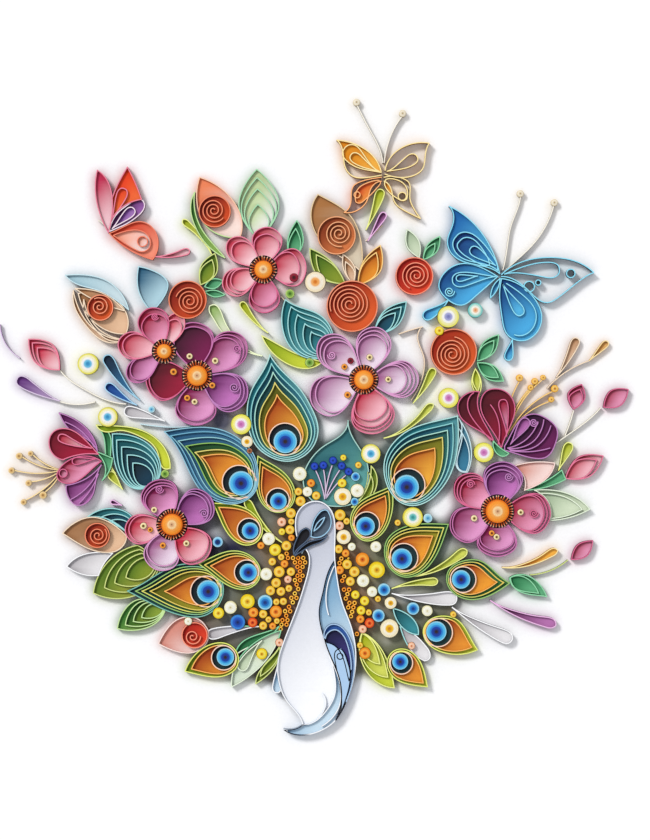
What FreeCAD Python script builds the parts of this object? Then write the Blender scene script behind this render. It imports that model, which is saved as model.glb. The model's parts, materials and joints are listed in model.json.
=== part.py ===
"""Quilled paper picture: a peacock among flowers, feathers, leaves and butterflies.

Every motif is made of narrow paper strips that stand on edge, glued to a coloured
paper base inside each closed loop, on one white backing card that lies flat.
The drawing is laid out on a square grid, x to the right and y down, and the cell
grid_step says how many millimetres one step of that grid is on the real card.
"""
import FreeCAD, Part
import math
import os

from FreeCAD import Vector

os.makedirs("parts", exist_ok=True)
doc = FreeCAD.newDocument("quilled_peacock")

# Driving dimensions, in millimetres unless the name says count or ratio
SIZES = (
    ("grid_step", 0.43),
    ("card_margin", 4.0),
    ("card_thick", 2.0),
    ("strip_wall", 0.45),
    ("inlay_drop", 1.2),
    ("trim_gap", 0.1),
    ("stem_tall", 2.4),
    ("coil_tall", 3.8),
    ("bead_tall", 3.0),
    ("bead_radius", 0.95),
    ("bead_bore", 0.4),
    ("bead_pitch", 2.2),
    ("leaf_tall", 3.2),
    ("feather_tall", 3.6),
    ("bird_tall", 4.2),
    ("rose_tall", 4.2),
    ("butterfly_tall", 3.8),
    ("lily_tall", 4.0),
    ("petal_tall", 4.4),
    ("centre_tall", 4.6),
    ("fringe_tall", 3.8),
    ("fringe_reach", 1.9),
    ("eye_coil_tall", 1.5),
)
# Counts of grid steps across and along the drawing
GRID_WIDE = 650
GRID_LONG = 840

sheet = doc.addObject("Spreadsheet::Sheet", "Sizes")
for row, (alias, value) in enumerate(SIZES, start=1):
    sheet.set(f"A{row}", alias)
    sheet.set(f"B{row}", str(value))
    sheet.setAlias(f"B{row}", alias)
doc.recompute()


def size(alias):
    return float(sheet.get(alias))


STEP = size("grid_step")
HALF_WALL = size("strip_wall") / 2
GAP = size("trim_gap")
CARD_TOP = size("card_thick")
INLAY_DROP = size("inlay_drop")
UP = Vector(0, 0, 1)


# Points and curves of the drawing
def at(point):
    """A grid point as a place on the card, in millimetres."""
    return Vector((point[0] - GRID_WIDE / 2) * STEP, (GRID_LONG / 2 - point[1]) * STEP, 0)


def smooth(points):
    """Smooth open curve through the points."""
    if len(points) == 2:
        return Part.LineSegment(*points)
    curve = Part.BSplineCurve()
    curve.interpolate(points)
    return curve


def band(curve, first, last, half, pieces, extend_start, extend_end):
    """The flat band that a standing strip covers, seen from above."""
    left = []
    right = []
    for index in range(pieces + 1):
        here = first + (last - first) * index / pieces
        place = curve.value(here)
        along = curve.tangent(here)[0]
        if index == 0 and extend_start:
            place = place - along * half
        if index == pieces and extend_end:
            place = place + along * half
        side = Vector(-along.y, along.x, 0) * half
        left.append(place + side)
        right.append(place - side)
    right.reverse()
    edges = [
        smooth(left).toShape(),
        Part.LineSegment(left[-1], right[0]).toShape(),
        smooth(right).toShape(),
        Part.LineSegment(right[-1], left[0]).toShape(),
    ]
    return Part.Face(Part.Wire(edges))


class Run:
    """One smooth stretch of strip, from corner to corner or from end to end."""

    def __init__(self, points, closing=False):
        self.points = [at(point) for point in points]
        self.curve = smooth(self.points)
        self.closing = closing

    def bands(self, half):
        first = self.curve.FirstParameter
        last = self.curve.LastParameter
        count = max(4, 2 * (len(self.points) - 1))
        if not self.closing:
            return [band(self.curve, first, last, half, count, True, True)]
        middle = (first + last) / 2
        count = max(4, len(self.points))
        return [
            band(self.curve, first, middle, half, count, True, False),
            band(self.curve, middle, last, half, count, False, True),
        ]


class Loop:
    """A closed strip made of smooth runs that meet at corners."""

    def __init__(self, *runs):
        closing = len(runs) == 1
        self.runs = [Run(points, closing) for points in runs]
        self.grid_runs = runs

    def face(self):
        edges = [run.curve.toShape() for run in self.runs]
        return Part.Face(Part.Wire(edges))

    def bands(self, half):
        return [flat for run in self.runs for flat in run.bands(half)]

    def scaled(self, ratio, about):
        moved = []
        for points in self.grid_runs:
            moved.append([
                (about[0] + (x - about[0]) * ratio, about[1] + (y - about[1]) * ratio)
                for x, y in points
            ])
        return Loop(*moved)


class Round:
    """A closed round strip, or a solid coil seen from above."""

    def __init__(self, centre, radius):
        self.centre = centre
        self.radius = radius

    def circle(self, grow=0.0):
        edge = Part.makeCircle(self.radius * STEP + grow, at(self.centre))
        return Part.Face(Part.Wire([edge]))

    def face(self):
        return self.circle()

    def bands(self, half):
        return [self.circle(half).cut(self.circle(-half))]

    def scaled(self, ratio, about):
        x = about[0] + (self.centre[0] - about[0]) * ratio
        y = about[1] + (self.centre[1] - about[1]) * ratio
        return Round((x, y), self.radius * ratio)


# Shapes that repeat, each from a few grid points
def between(start, end, share, aside=0.0):
    """A point part of the way from start to end, moved sideways by a share of the length."""
    dx = end[0] - start[0]
    dy = end[1] - start[1]
    return (start[0] + dx * share - dy * aside, start[1] + dy * share + dx * aside)


def drop(head, radius, tip, lean=0.0):
    """Teardrop coil: a round head that runs out to a pinched tip."""
    length = math.dist(head, tip)
    wide = radius / length
    left = [
        tip,
        between(tip, head, 0.45, -0.5 * wide + lean),
        between(tip, head, 0.8, -0.93 * wide + lean / 2),
        between(tip, head, 1.0, -wide),
        between(tip, head, 1.0 + 0.72 * wide, -0.72 * wide),
    ]
    right = [
        between(tip, head, 1.0 + wide, 0.0),
        between(tip, head, 1.0 + 0.72 * wide, 0.72 * wide),
        between(tip, head, 1.0, wide),
        between(tip, head, 0.8, 0.93 * wide + lean / 2),
        between(tip, head, 0.45, 0.5 * wide + lean),
        tip,
    ]
    return Loop(left + right)


def leaf(base, tip, left, right):
    """Pointed leaf: each side bows out by a share of the length, and either may be negative."""
    shape = ((0.25, 0.72), (0.5, 1.0), (0.75, 0.72))
    out = [base] + [between(base, tip, share, -left * bow) for share, bow in shape] + [tip]
    back = [tip] + [between(base, tip, share, right * bow) for share, bow in reversed(shape)] + [base]
    return Loop(out, back)


def petal(base, far, width, lean=0.0):
    """Round petal that narrows to its base; width is the share of its length."""
    half = width / 2
    left = [
        base,
        between(base, far, 0.25, -0.42 * half),
        between(base, far, 0.52, -0.9 * half + lean),
        between(base, far, 0.78, -0.95 * half + lean),
        between(base, far, 0.95, -0.5 * half + lean),
    ]
    right = [
        between(base, far, 1.0, lean),
        between(base, far, 0.95, 0.5 * half + lean),
        between(base, far, 0.78, 0.95 * half + lean),
        between(base, far, 0.52, 0.9 * half + lean),
        between(base, far, 0.25, 0.42 * half),
        base,
    ]
    return Loop(left + right)


def curl(centre, radius, turns, start, inner=0.12, sense=1):
    """Strip rolled into an open spiral, from its rim at the start angle to its middle."""
    per_turn = 12
    count = int(turns * per_turn)
    points = []
    for index in range(count + 1):
        share = index / count
        reach = radius * (1 - share * (1 - inner))
        angle = math.radians(start) + sense * share * turns * 2 * math.pi
        points.append((centre[0] + reach * math.cos(angle), centre[1] + reach * math.sin(angle)))
    return points


# Pieces: the first ones lie on top, and every later one stops short of them
footprints = []
node_shapes = {}


def joined(faces):
    """Flat faces in one plane, made into one outline."""
    if len(faces) == 1:
        return faces[0]
    return faces[0].multiFuse(faces[1:]).removeSplitter()


def trimmed(flat):
    """Cuts away what earlier pieces cover."""
    if not flat.Faces:
        return flat
    box = flat.BoundBox
    near = [other for other in footprints if other.BoundBox.intersect(box)]
    return flat.cut(near) if near else flat


def keep(node, flat, low, tall):
    """Raises a flat outline into paper of the given height and adds it to its node."""
    for face in flat.Faces:
        if face.Area < HALF_WALL * HALF_WALL:
            continue
        solid = face.extrude(UP * tall)
        solid.translate(UP * low)
        node_shapes.setdefault(node, []).append(solid)


def quill(node, tall, loops, inner=(), eye=None):
    """Glued-down motif: strips on edge, and a raised coloured inlay in every closed cell."""
    walls = joined([flat for shape in list(loops) + list(inner) for flat in shape.bands(HALF_WALL)])
    if eye:
        walls = walls.cut(eye.circle(GAP))
    cells = [loop.face().cut(walls) for loop in loops]
    keep(node, trimmed(walls), CARD_TOP, tall)
    for cell in cells:
        keep(node, trimmed(cell), CARD_TOP, tall - INLAY_DROP)
    footprints.extend(loop.face() for loop in loops)
    footprints.extend(flat for loop in loops for flat in loop.bands(HALF_WALL + GAP))


def strip_only(node, tall, *strips):
    """Open strips that stand straight on the card."""
    for points in strips:
        run = Run(points)
        keep(node, trimmed(joined(run.bands(HALF_WALL))), CARD_TOP, tall)
        footprints.extend(run.bands(HALF_WALL + GAP))


coils = []


def coil(node, centre, radius, tall, seat=CARD_TOP, cuts=True):
    """Tight coil; it shrinks to stay clear of the coils placed before it."""
    reach = radius * STEP
    for other, other_reach in coils:
        reach = min(reach, math.dist(centre, other) * STEP - other_reach - GAP)
    coils.append((centre, reach))
    solid = Part.makeCylinder(reach, tall, at(centre) + UP * seat)
    node_shapes.setdefault(node, []).append(solid)
    if cuts:
        footprints.append(Round(centre, reach / STEP).circle(GAP))


# Peacock: beak, cheek, wing, neck and body
BEAK_UPPER = ((306, 528), (300, 532), (297, 538), (294, 546), (294, 554))
BEAK_MIDDLE = ((294, 554), (299, 547), (306, 541), (310.4, 533), (306, 528))
BEAK_LOWER = ((295, 555), (303, 545.5), (312, 540.5), (321, 538.5), (327, 535))
BEAK_LOWER_EDGE = ((327, 535), (322, 541), (312, 545), (303, 550), (295, 555))
quill("peacock_beak", size("bird_tall"), [Loop(BEAK_UPPER, BEAK_MIDDLE)])
quill("peacock_beak", size("bird_tall"), [Loop(BEAK_LOWER, BEAK_LOWER_EDGE)])

CHEEK = (
    (311, 536), (313.5, 522), (318, 514), (325, 509.5), (330.5, 517), (328.5, 530), (320, 536.5), (311, 536),
)
EYE_SLIT = ((324.7, 517), (318, 522), (314, 530.6))
EYE_SLIT_BACK = ((314, 530.6), (320, 525.5), (324.7, 517))
quill("peacock_cheek", size("bird_tall"), [Loop(CHEEK)], [Loop(EYE_SLIT, EYE_SLIT_BACK)])

WING_FRONT = (
    (324.8, 638.5), (326, 628), (332, 623.5), (342, 627), (350, 639),
    (354, 656), (352.5, 680), (346, 701), (336, 719),
)
WING_BACK = (
    (336, 719), (340.5, 706), (341.5, 690), (338, 673), (331, 656), (324.8, 638.5),
)
WING_BLUE_TOP = ((326.5, 642), (328, 632), (335, 629), (343, 634.5), (348, 646), (351, 662), (349, 680))
WING_BLUE_BACK = ((349, 680), (344, 660), (336, 646), (326.5, 642))
WING_NAVY = (
    (340, 713), (341.5, 697), (338, 676), (335, 660), (336, 650), (341, 648),
    (345, 654), (350, 672), (347, 694), (340, 713),
)
quill(
    "peacock_wing",
    size("bird_tall"),
    [Loop(WING_FRONT, WING_BACK)],
    [Loop(WING_NAVY), Round((340, 655.5), 3.0), Loop(WING_BLUE_TOP, WING_BLUE_BACK)],
)

BODY_LEFT = (
    (315.5, 501), (304, 505), (297, 514), (295.6, 524), (299, 540), (308, 552), (309, 567),
    (305, 583), (299, 602), (291, 623), (282.5, 645), (278.7, 658), (279, 680), (287, 700),
    (300, 716), (303, 724),
)
BODY_FOOT = ((303, 724), (297, 727.5), (284, 728.5))
BODY_RIGHT = (
    (284, 728.5), (293, 733), (305, 733.8), (320.5, 729.6), (334.6, 720), (343, 708), (351, 688),
    (355.7, 656), (350, 623), (342, 602), (337, 578), (334.4, 552), (335, 530), (331, 510), (315.5, 501),
)
NECK_S = (
    (333.9, 561), (327, 575), (322.7, 593), (319.4, 608), (320.5, 624), (325, 640), (330, 656),
    (334.6, 675), (334.6, 694), (326, 710), (317, 719), (303, 724),
)
NECK_S_OUTER = ((329, 655), (336.7, 672), (341, 690), (338, 708), (331, 718), (322, 725))
NECK_STRIPE = ((333.9, 566), (328, 582), (326, 600), (328.5, 614))
TAIL_CURL = ((322.6, 693), (325.5, 699), (324, 709), (318, 717))
quill(
    "peacock_body",
    size("bird_tall"),
    [Loop(BODY_LEFT, BODY_FOOT, BODY_RIGHT)],
    [Run(NECK_S), Run(NECK_S_OUTER), Run(NECK_STRIPE), Run(TAIL_CURL)],
)
quill("peacock_body", size("bird_tall"), [drop((277, 687.5), 4.2, (277.6, 664))])

# Crest of the peacock
CREST_ROOT = (325, 499.5)
CREST_TIPS = ((314.5, 466.2), (323.4, 465.2), (333, 460.4), (341.6, 465.8), (348.5, 471.5))
for tip in CREST_TIPS:
    coil("crest_tips", tip, 3.9, size("coil_tall"))
for tip in CREST_TIPS:
    foot = between(CREST_ROOT, tip, 0.03)
    middle = between(CREST_ROOT, tip, 0.5, 0.03 if tip[0] < CREST_ROOT[0] else -0.03)
    strip_only("crest_stalks", size("leaf_tall"), (foot, middle, between(CREST_ROOT, tip, 0.86)))

# Tight coils round the neck and crest: centre and radius on the grid
COLLAR_COILS = (
    ((343.3, 457.5), 3), ((358.3, 465), 3.2), ((355.5, 476.5), 7), ((342, 483), 4.5), ((342.6, 496.5), 9),
    ((357.2, 490.5), 7.2), ((354.5, 501.5), 4), ((299.8, 473.8), 7), ((311, 483), 4), ((307.5, 491.5), 5.5),
    ((298.4, 491.5), 4), ((316.2, 495.5), 4.2), ((300.5, 501), 5), ((291, 513), 5), ((281.8, 521.8), 4.5),
    ((291.5, 521.4), 4), ((290, 529.5), 4.6), ((282, 531.5), 4.6), ((291.5, 537.5), 4), ((268.8, 538.5), 6.5),
    ((261, 545.2), 4.2), ((275.2, 549.5), 6), ((286.5, 545.5), 4.8), ((281.3, 556.8), 4), ((284.6, 563.4), 4.6),
    ((272.4, 561.4), 3.8), ((279.3, 571.4), 5.5), ((266.3, 573.8), 6.2), ((291, 571.4), 4.2),
    ((288, 579), 4.6), ((276.2, 582.4), 4.8), ((270.6, 590.3), 5.2), ((247.7, 601), 7.2), ((265.3, 602), 7.4),
    ((230.7, 607), 6.4), ((218.7, 612.6), 5.6), ((238, 621.7), 7.4), ((253.5, 612), 5), ((252.8, 622), 5.6),
    ((263.3, 613.6), 4.6), ((276, 611.2), 6.2), ((263.3, 625.2), 4), ((268.6, 619), 3), ((277, 620.5), 3.2),
    ((272.8, 625.6), 4.2), ((188.6, 620.7), 4), ((262, 653.3), 5.5), ((279.5, 642), 4), ((281, 591), 4.4),
    ((289, 588), 3.4), ((276.5, 601.5), 3.2), ((283.5, 601), 4.2), ((340, 514.8), 5.5), ((346.6, 521), 4),
    ((339.5, 525.5), 4.4), ((343.6, 536.7), 8.3), ((351.7, 546.4), 4), ((338.5, 548.8), 4.2),
    ((345.6, 553), 4.2), ((362.4, 559.2), 6.8), ((375.7, 546.4), 5.5), ((376.7, 569.6), 8.2),
    ((354.3, 571.4), 5.2), ((363, 580.4), 6.3), ((347, 564), 4.8), ((339.5, 569.6), 4.6), ((350.2, 581), 4.5),
    ((372, 591.3), 5.2), ((383.9, 589.3), 6.2), ((377.8, 598.5), 3), ((390.5, 602.5), 6),
    ((364.5, 600.5), 4.6),
    ((355.3, 594.4), 4.2), ((361, 610), 4.4), ((368.7, 612), 3), ((360.3, 618.6), 4.5), ((378.4, 615.2), 6.2),
    ((389.3, 628), 9.2), ((369.4, 622.6), 4.8), ((362.6, 628.6), 4.2), ((364.8, 652.5), 5.8),
    ((360, 644.8), 3.2), ((412.9, 608.2), 6.2), ((427, 610.4), 5.4), ((453, 614), 3), ((348.3, 558), 3),
    ((411.3, 645.3), 3.6), ((397.5, 522.5), 3),
)
for centre, radius in COLLAR_COILS:
    coil("collar_coils", centre, radius, size("coil_tall"))

# Tight coils that stand by themselves among the flowers
ACCENT_COILS = (
    ((448, 317), 11), ((475, 310.5), 7.5), ((439, 331), 4.5), ((88.6, 364), 10.8), ((108.3, 417), 10),
    ((241.3, 424.3), 10.3), ((247.2, 441.6), 5.8), ((249.8, 450.8), 2.6), ((370.7, 453.7), 9.8),
    ((448.3, 398), 10.2), ((483.4, 452.4), 10), ((412.6, 517), 10.2), ((427.6, 518), 4.6),
    ((218, 541.7), 5.2), ((315.3, 282.3), 10.5), ((152, 409.4), 3.5),
)
for centre, radius in ACCENT_COILS:
    coil("accent_coils", centre, radius, size("coil_tall"))

# Flowers: centre, centre coil radius, then each petal's far point, width share and inner loops
FLOWERS = {
    "a": ((263.5, 270), 9.3, (
        ((229, 241), 0.55, (0.86,)), ((269, 228), 0.70, (0.84,)), ((306, 267), 0.88, (0.84,)),
        ((265, 313), 0.70, (0.86,)), ((224, 289), 0.62, (0.9, 0.8)),
    )),
    "b": ((164.5, 351.5), 7.5, (
        ((149, 309), 0.68, (0.86,)), ((180, 314), 0.48, (0.84,)), ((119, 343), 0.58, (0.9,)),
        ((129, 379), 0.52, (0.9,)),
    )),
    "c": ((197.5, 375.8), 10.5, (
        ((191, 323), 0.78, (0.92,)), ((244, 338), 0.60, (0.93, 0.86)), ((246, 401), 0.70, (0.93, 0.86)),
        ((195.6, 425), 0.82, (0.91,)), ((147, 383), 0.78, (0.94,)),
    )),
    "d": ((363.7, 379.8), 10.0, (
        ((321, 339), 0.58, (0.93, 0.85)), ((378, 328), 0.64, (0.93, 0.85)),
        ((418, 379), 0.67, (0.93, 0.86, 0.78)), ((377, 433), 0.78, (0.93, 0.87, 0.75)),
        ((312, 404), 0.70, (0.9,)),
    )),
    "e": ((172.4, 524.2), 11.0, (
        ((154, 481), 0.79, (0.93, 0.87)), ((211, 497), 0.76, (0.93, 0.86)), ((206, 558), 0.76, (0.92,)),
        ((157, 569), 0.74, (0.9,)), ((126, 531), 0.62, (0.92,)),
    )),
    "f": ((497, 511), 12.0, (
        ((505, 462), 0.78, (0.92, 0.84)), ((457, 479), 0.64, (0.93, 0.86)), ((451, 531), 0.70, (0.95,)),
        ((496, 556), 0.88, (0.94, 0.86)), ((549.5, 514), 0.76, (0.94, 0.88)),
    )),
}
# Small curls inside the petals: flower, centre, radius, start angle, sense
PETAL_CURLS = (
    ("b", (155.5, 317), 3.6, 20, 1), ("c", (237, 349), 4.2, 60, -1), ("c", (234.5, 387.5), 5.0, 0, 1),
    ("d", (331.6, 355.5), 4.0, 180, -1), ("e", (160, 489), 4.2, 10, 1), ("e", (204.4, 513), 4.6, 200, 1),
    ("f", (508, 476.6), 4.2, 0, 1), ("f", (470, 484), 4.2, 0, -1), ("f", (533, 513), 4.4, 0, 1),
)
# Small coils glued inside the petals
PETAL_COILS = (
    ((294, 278), 4.2), ((174, 372), 3.3), ((187.6, 398), 3), ((195, 401.8), 3), ((215.5, 361), 3.2),
    ((190, 356.5), 3), ((212.6, 385.5), 3), ((344.4, 367), 3), ((350.5, 361), 3), ((369.5, 357.5), 3.2),
    ((388, 379.5), 3), ((347.5, 395), 3.2), ((154.6, 509.5), 3), ((144, 525.6), 3.3), ((150.8, 529.4), 2.6),
    ((163.3, 545), 3), ((186.8, 543), 3), ((473.7, 518), 3.2), ((520, 512), 3), ((491.2, 532.8), 2.8),
    ((496, 536.6), 3),
)
FRINGE_TEETH = 22


def fringe(centre, radius):
    """Snipped paper fringe round a flower centre: a flat star with a round hole."""
    inner = radius * STEP + GAP
    reach = inner + size("fringe_reach")
    valley = inner + size("fringe_reach") / 3
    points = []
    for index in range(2 * FRINGE_TEETH):
        angle = math.pi * index / FRINGE_TEETH
        out = reach if index % 2 else valley
        points.append(at(centre) + Vector(math.cos(angle), math.sin(angle), 0) * out)
    points.append(points[0])
    star = Part.Face(Part.makePolygon(points))
    hole = Part.Face(Part.Wire([Part.makeCircle(inner, at(centre))]))
    keep("flower_fringes", trimmed(star.cut(hole)), CARD_TOP, size("fringe_tall"))
    footprints.append(Part.Face(Part.Wire([Part.makeCircle(reach + GAP, at(centre))])))


for centre, radius in PETAL_COILS:
    coil("accent_coils", centre, radius, size("petal_tall"))
for centre, radius, petals in FLOWERS.values():
    coil("flower_centres", centre, radius, size("centre_tall"))
for centre, radius, petals in FLOWERS.values():
    fringe(centre, radius)

# Roses: one strip rolled outward from the middle inside its own round loop
ROSES = (
    ((215, 212), 15.5, (214, 211)), ((336.5, 236), 18.5, (339, 234)), ((414, 276.5), 18.3, (416, 276)),
    ((352, 306.5), 25, (349.5, 304.5)), ((188, 300), 18.5, (190, 301.5)), ((101, 308), 12.5, (100, 307)),
    ((453.3, 352), 22.5, (451.5, 354.5)), ((98, 535), 12, (98.5, 535)), ((195, 634.5), 12.5, (193, 636)),
)
ROSE_TURN_PITCH = 4.4
for number, (centre, radius, middle) in enumerate(ROSES, start=1):
    reach = radius - math.dist(centre, middle) - 2
    turns = reach / ROSE_TURN_PITCH
    roll = Run(curl(middle, reach, turns, 40 * number))
    quill(f"rose_{number}", size("rose_tall"), [Round(centre, radius)], [roll])

# Butterflies, each from its wings, body and antennae
RED_WINGS = (
    Loop(((109, 233), (99, 209), (96, 187), (98, 171)), ((98, 171), (105, 177), (110, 186), (109, 233))),
    Loop(((109, 231), (111, 205), (119, 184), (128, 168)), ((128, 168), (136, 184), (142, 200)),
         ((142, 200), (129, 204), (118, 212), (109, 231))),
    Loop(((110, 232), (118, 214), (129, 205), (142, 200), (145, 206), (139, 216), (126, 225), (110, 232))),
    Loop(((110, 234), (125, 227), (143, 222.5), (155, 231), (158.5, 246), (153, 260)),
         ((153, 260), (137, 254), (122, 245), (110, 234))),
    drop((187, 252), 3, (155, 257), 0.05),
)
RED_INNER = (
    (), (drop((123, 194), 5, (112, 222)),), (drop((131, 212.5), 4.6, (113, 229)),),
    (Loop(((114, 236), (130, 231), (144, 232.5), (151, 243), (147, 251), (132, 248), (114, 236))),
     Round((143, 242), 5)), (),
)
ORANGE_WINGS = (
    Loop(((381, 173), (372, 156), (355, 145), (337, 141)),
         ((337, 141), (343, 154), (346, 170), (352, 176.5), (365, 178.5), (381, 176))),
    Loop(((385, 171), (394, 154), (410, 145), (429, 144)),
         ((429, 144), (425, 156), (422, 170), (411, 177), (397, 178), (385, 175))),
    Loop(((381, 178), (363, 181.5), (352.5, 188), (351, 200), (344, 213)),
         ((344, 213), (358, 210.5), (366.5, 202), (370, 191), (381, 182))),
    Loop(((384, 178), (398, 178), (409, 184), (409.5, 198), (414, 210), (420, 219)),
         ((420, 219), (405, 211.5), (394, 202), (391, 190), (384, 182))),
)
ORANGE_INNER = (
    (drop((355, 158.5), 5, (379, 172), -0.04),
     drop((351, 154), 9, (380, 173), -0.06).scaled(0.98, (380, 173))),
    (drop((412, 160), 5.4, (387, 172), 0.04),),
    (Round((357, 195.5), 3), Loop(((379, 181), (364, 185), (356.5, 192), (357, 204), (364, 201), (379, 181)))),
    (Round((402, 197), 4), Loop(((386, 180), (399, 181.5), (406, 188), (405, 201), (397, 199), (386, 180)))),
)
BLUE_WINGS = (
    Loop(((499, 274), (490, 248), (471, 222), (449, 207)),
         ((449, 207), (451, 229), (447, 243), (453, 256), (466, 263), (482, 266.5), (499, 274))),
    Loop(((497, 277), (483, 269), (462, 264), (447, 270.5), (438.5, 287), (447.6, 300), (461, 305.5),
          (475, 296.5), (487, 286), (497, 277))),
    Loop(((501, 275), (513, 266), (532, 259.5), (552, 258), (574, 261.5), (593, 273)),
         ((593, 273), (575, 284), (560, 296), (545, 303), (531, 294), (517, 282), (501, 277))),
    Loop(((501, 279), (517, 284), (533, 298), (541, 318), (534, 335), (520, 341), (507, 335), (501.5, 318),
          (499, 296), (501, 279))),
    drop((508, 356.5), 4, (512, 339), 0.0),
    drop((427.5, 315.5), 4.8, (449, 299), -0.05),
)
BLUE_INNER = (
    (drop((474, 251.5), 4.8, (495, 266)),
     Loop(((497, 271), (480, 241), (462, 233), (452.5, 243), (458, 256), (474, 262.5), (497, 271))),
     Loop(((489, 266), (478, 244.5), (466, 238), (457, 245), (466, 257), (489, 266)))),
    (drop((459, 280.2), 7, (495, 277), 0.02), drop((459, 278.6), 3.2, (477, 276.5)),
     Run(curl((449, 292), 5, 2, 0))),
    (drop((551, 270.5), 7.6, (504, 274.5), -0.05), Round((570, 273.8), 4.2), Round((528.5, 287), 5.2),
     Round((537.5, 283), 2.6)),
    (drop((518.5, 311), 5, (502, 284), 0.02),
     Run(((506, 284), (524, 297), (535.5, 315), (530, 331), (514, 335)))),
    (), (),
)
BLUE_BODY = Loop(((499.5, 279), (493, 286), (490, 298)), ((490, 298), (496, 291), (499.5, 279)))
ANTENNAE = (
    ((382.5, 163), (378, 146), (370, 131), (362, 116), (357.5, 107)),
    ((384, 163), (387, 147), (393, 131), (401, 118)),
    ((502.5, 270), (506.5, 250), (511, 225), (517.5, 208), (520, 198)),
    ((504.5, 271), (519, 258), (534, 243), (546, 225), (553, 207)),
    ((108, 229), (104, 224.5), (99, 221)),
)
ANTENNA_DOTS = (((356.5, 102.8), 3.6), ((402.5, 114), 3.6), ((520, 194), 3.6), ((554, 203), 3.6))
for centre, radius in ANTENNA_DOTS:
    coil("antennae", centre, radius, size("stem_tall"))
quill("butterfly_blue", size("butterfly_tall"), [BLUE_BODY])
for name, wings, marks in (
    ("butterfly_red", RED_WINGS, RED_INNER),
    ("butterfly_orange", ORANGE_WINGS, ORANGE_INNER),
    ("butterfly_blue", BLUE_WINGS, BLUE_INNER),
):
    for wing, inner in zip(wings, marks):
        quill(name, size("butterfly_tall"), [wing], inner)
strip_only("antennae", size("stem_tall"), *ANTENNAE)

# Petals, each a loop that narrows to the flower's centre, with loops nested in it
for letter, (centre, radius, petals) in FLOWERS.items():
    curls = [Run(curl(where, reach, 2, start, sense=sense))
             for flower, where, reach, start, sense in PETAL_CURLS if flower == letter]
    for far, width, nests in petals:
        outer = petal(centre, far, width)
        inner = [outer.scaled(ratio, centre) for ratio in nests]
        box = outer.face().BoundBox
        inner += [roll for roll in curls if box.isInside(roll.points[-1])]
        curls = [roll for roll in curls if roll not in inner]
        quill(f"flower_{letter}_petals", size("petal_tall"), [outer], inner)

# Feathers: eye centre and radius, outline from the tip round and back, nested loops, crescent
FEATHERS = {
    "feather_crown": ((285.4, 441.5), 12.5, (
        (270, 355), (261.5, 374), (252, 390), (247.5, 409), (249, 428), (256, 445), (271, 457), (289, 461),
        (305, 455), (315, 443), (318, 427.5), (312, 409), (299, 388), (284, 373), (270, 355),
    ), (0.9, 0.80, 0.68, 0.54)),
    "feather_left_1": ((241.3, 483.2), 13, (
        (164.7, 431.7), (194, 427.5), (222, 430), (241, 440), (253.5, 454), (258, 472), (256, 490),
        (240, 502.5), (219, 501.5), (204, 493), (193, 478), (182, 455), (164.7, 431.7),
    ), (0.92, 0.82, 0.72, 0.60, 0.52)),
    "feather_left_2": ((278.6, 501), 9, (
        (258, 456), (256.5, 475), (257.5, 492), (264, 505), (278, 512), (290, 507), (295, 495), (291, 481),
        (281, 470), (269, 462.5), (258, 456),
    ), (0.88, 0.76)),
    "feather_left_3": ((250.4, 530.5), 9, (
        (213.5, 503), (230, 504), (246.5, 508.5), (258, 518), (262.5, 531), (256, 542), (244.5, 544.5),
        (232, 537.5), (222, 522), (213.5, 503),
    ), (0.85,)),
    "feather_left_4": ((248.6, 572), 9.5, (
        (199, 563.5), (214, 556), (233, 550.5), (250, 555), (260, 568), (258.5, 580), (246, 588.5),
        (232, 586.5), (216, 576.5), (199, 563.5),
    ), (0.88, 0.76)),
    "feather_left_5": ((208.6, 591), 12, (
        (128, 590.5), (150, 579), (174, 566), (196, 563.5), (215, 570.5), (223.5, 587), (219, 604),
        (203, 615.5), (181, 614.5), (156, 605), (128, 590.5),
    ), (0.9, 0.82, 0.72, 0.54)),
    "feather_left_6": ((225.7, 656.5), 9.5, (
        (185.5, 670.5), (196, 653.5), (212, 643.5), (228, 643.5), (237.5, 653), (237, 666), (226, 674.5),
        (208, 675.5), (185.5, 670.5),
    ), (0.84,)),
    "feather_right_1": ((406.5, 487), 13, (
        (457, 416), (434, 421.5), (410, 429.5), (394, 442), (385, 458), (384.5, 476), (392, 494),
        (406, 504.5), (423, 503), (438, 492), (450, 474), (457, 448), (457, 416),
    ), (0.9, 0.8, 0.7, 0.55)),
    "feather_right_2": ((365.5, 526), 10, (
        (391, 486), (372, 494.5), (357, 504.5), (350.5, 518), (354, 532), (366, 540.5), (380, 535),
        (389, 521), (392.5, 505), (391, 486),
    ), (0.88, 0.76)),
    "feather_right_3": ((401.7, 558.4), 11, (
        (448, 524), (424, 523.5), (401, 528), (387, 539.5), (385, 557), (391, 569), (404, 576.5),
        (420, 572.5), (434, 558), (442, 541), (448, 524),
    ), (0.9, 0.8, 0.66)),
    "feather_right_4": ((460.7, 579), 10, (
        (509, 582.5), (494, 571), (480, 560.5), (463, 560.5), (449, 569), (447, 583), (456, 594.5),
        (472, 599), (490, 594.5), (509, 582.5),
    ), (0.88, 0.74)),
    "feather_right_5": ((436, 631), 11, (
        (477, 649), (467, 632), (457, 619.5), (442, 615.5), (428, 620.5), (423, 632), (430, 645),
        (444, 652), (460, 653.5), (477, 649),
    ), (0.86,)),
    "feather_right_6": ((400, 661), 8.7, (
        (427, 686), (423.5, 670), (415.5, 655), (404, 648.5), (392, 651.5), (387, 664), (393.5, 676.5),
        (407, 683), (427, 686),
    ), (0.85,)),
}
CRESCENT_GROW = 1.28
EYE_INSET = 0.6


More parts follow.
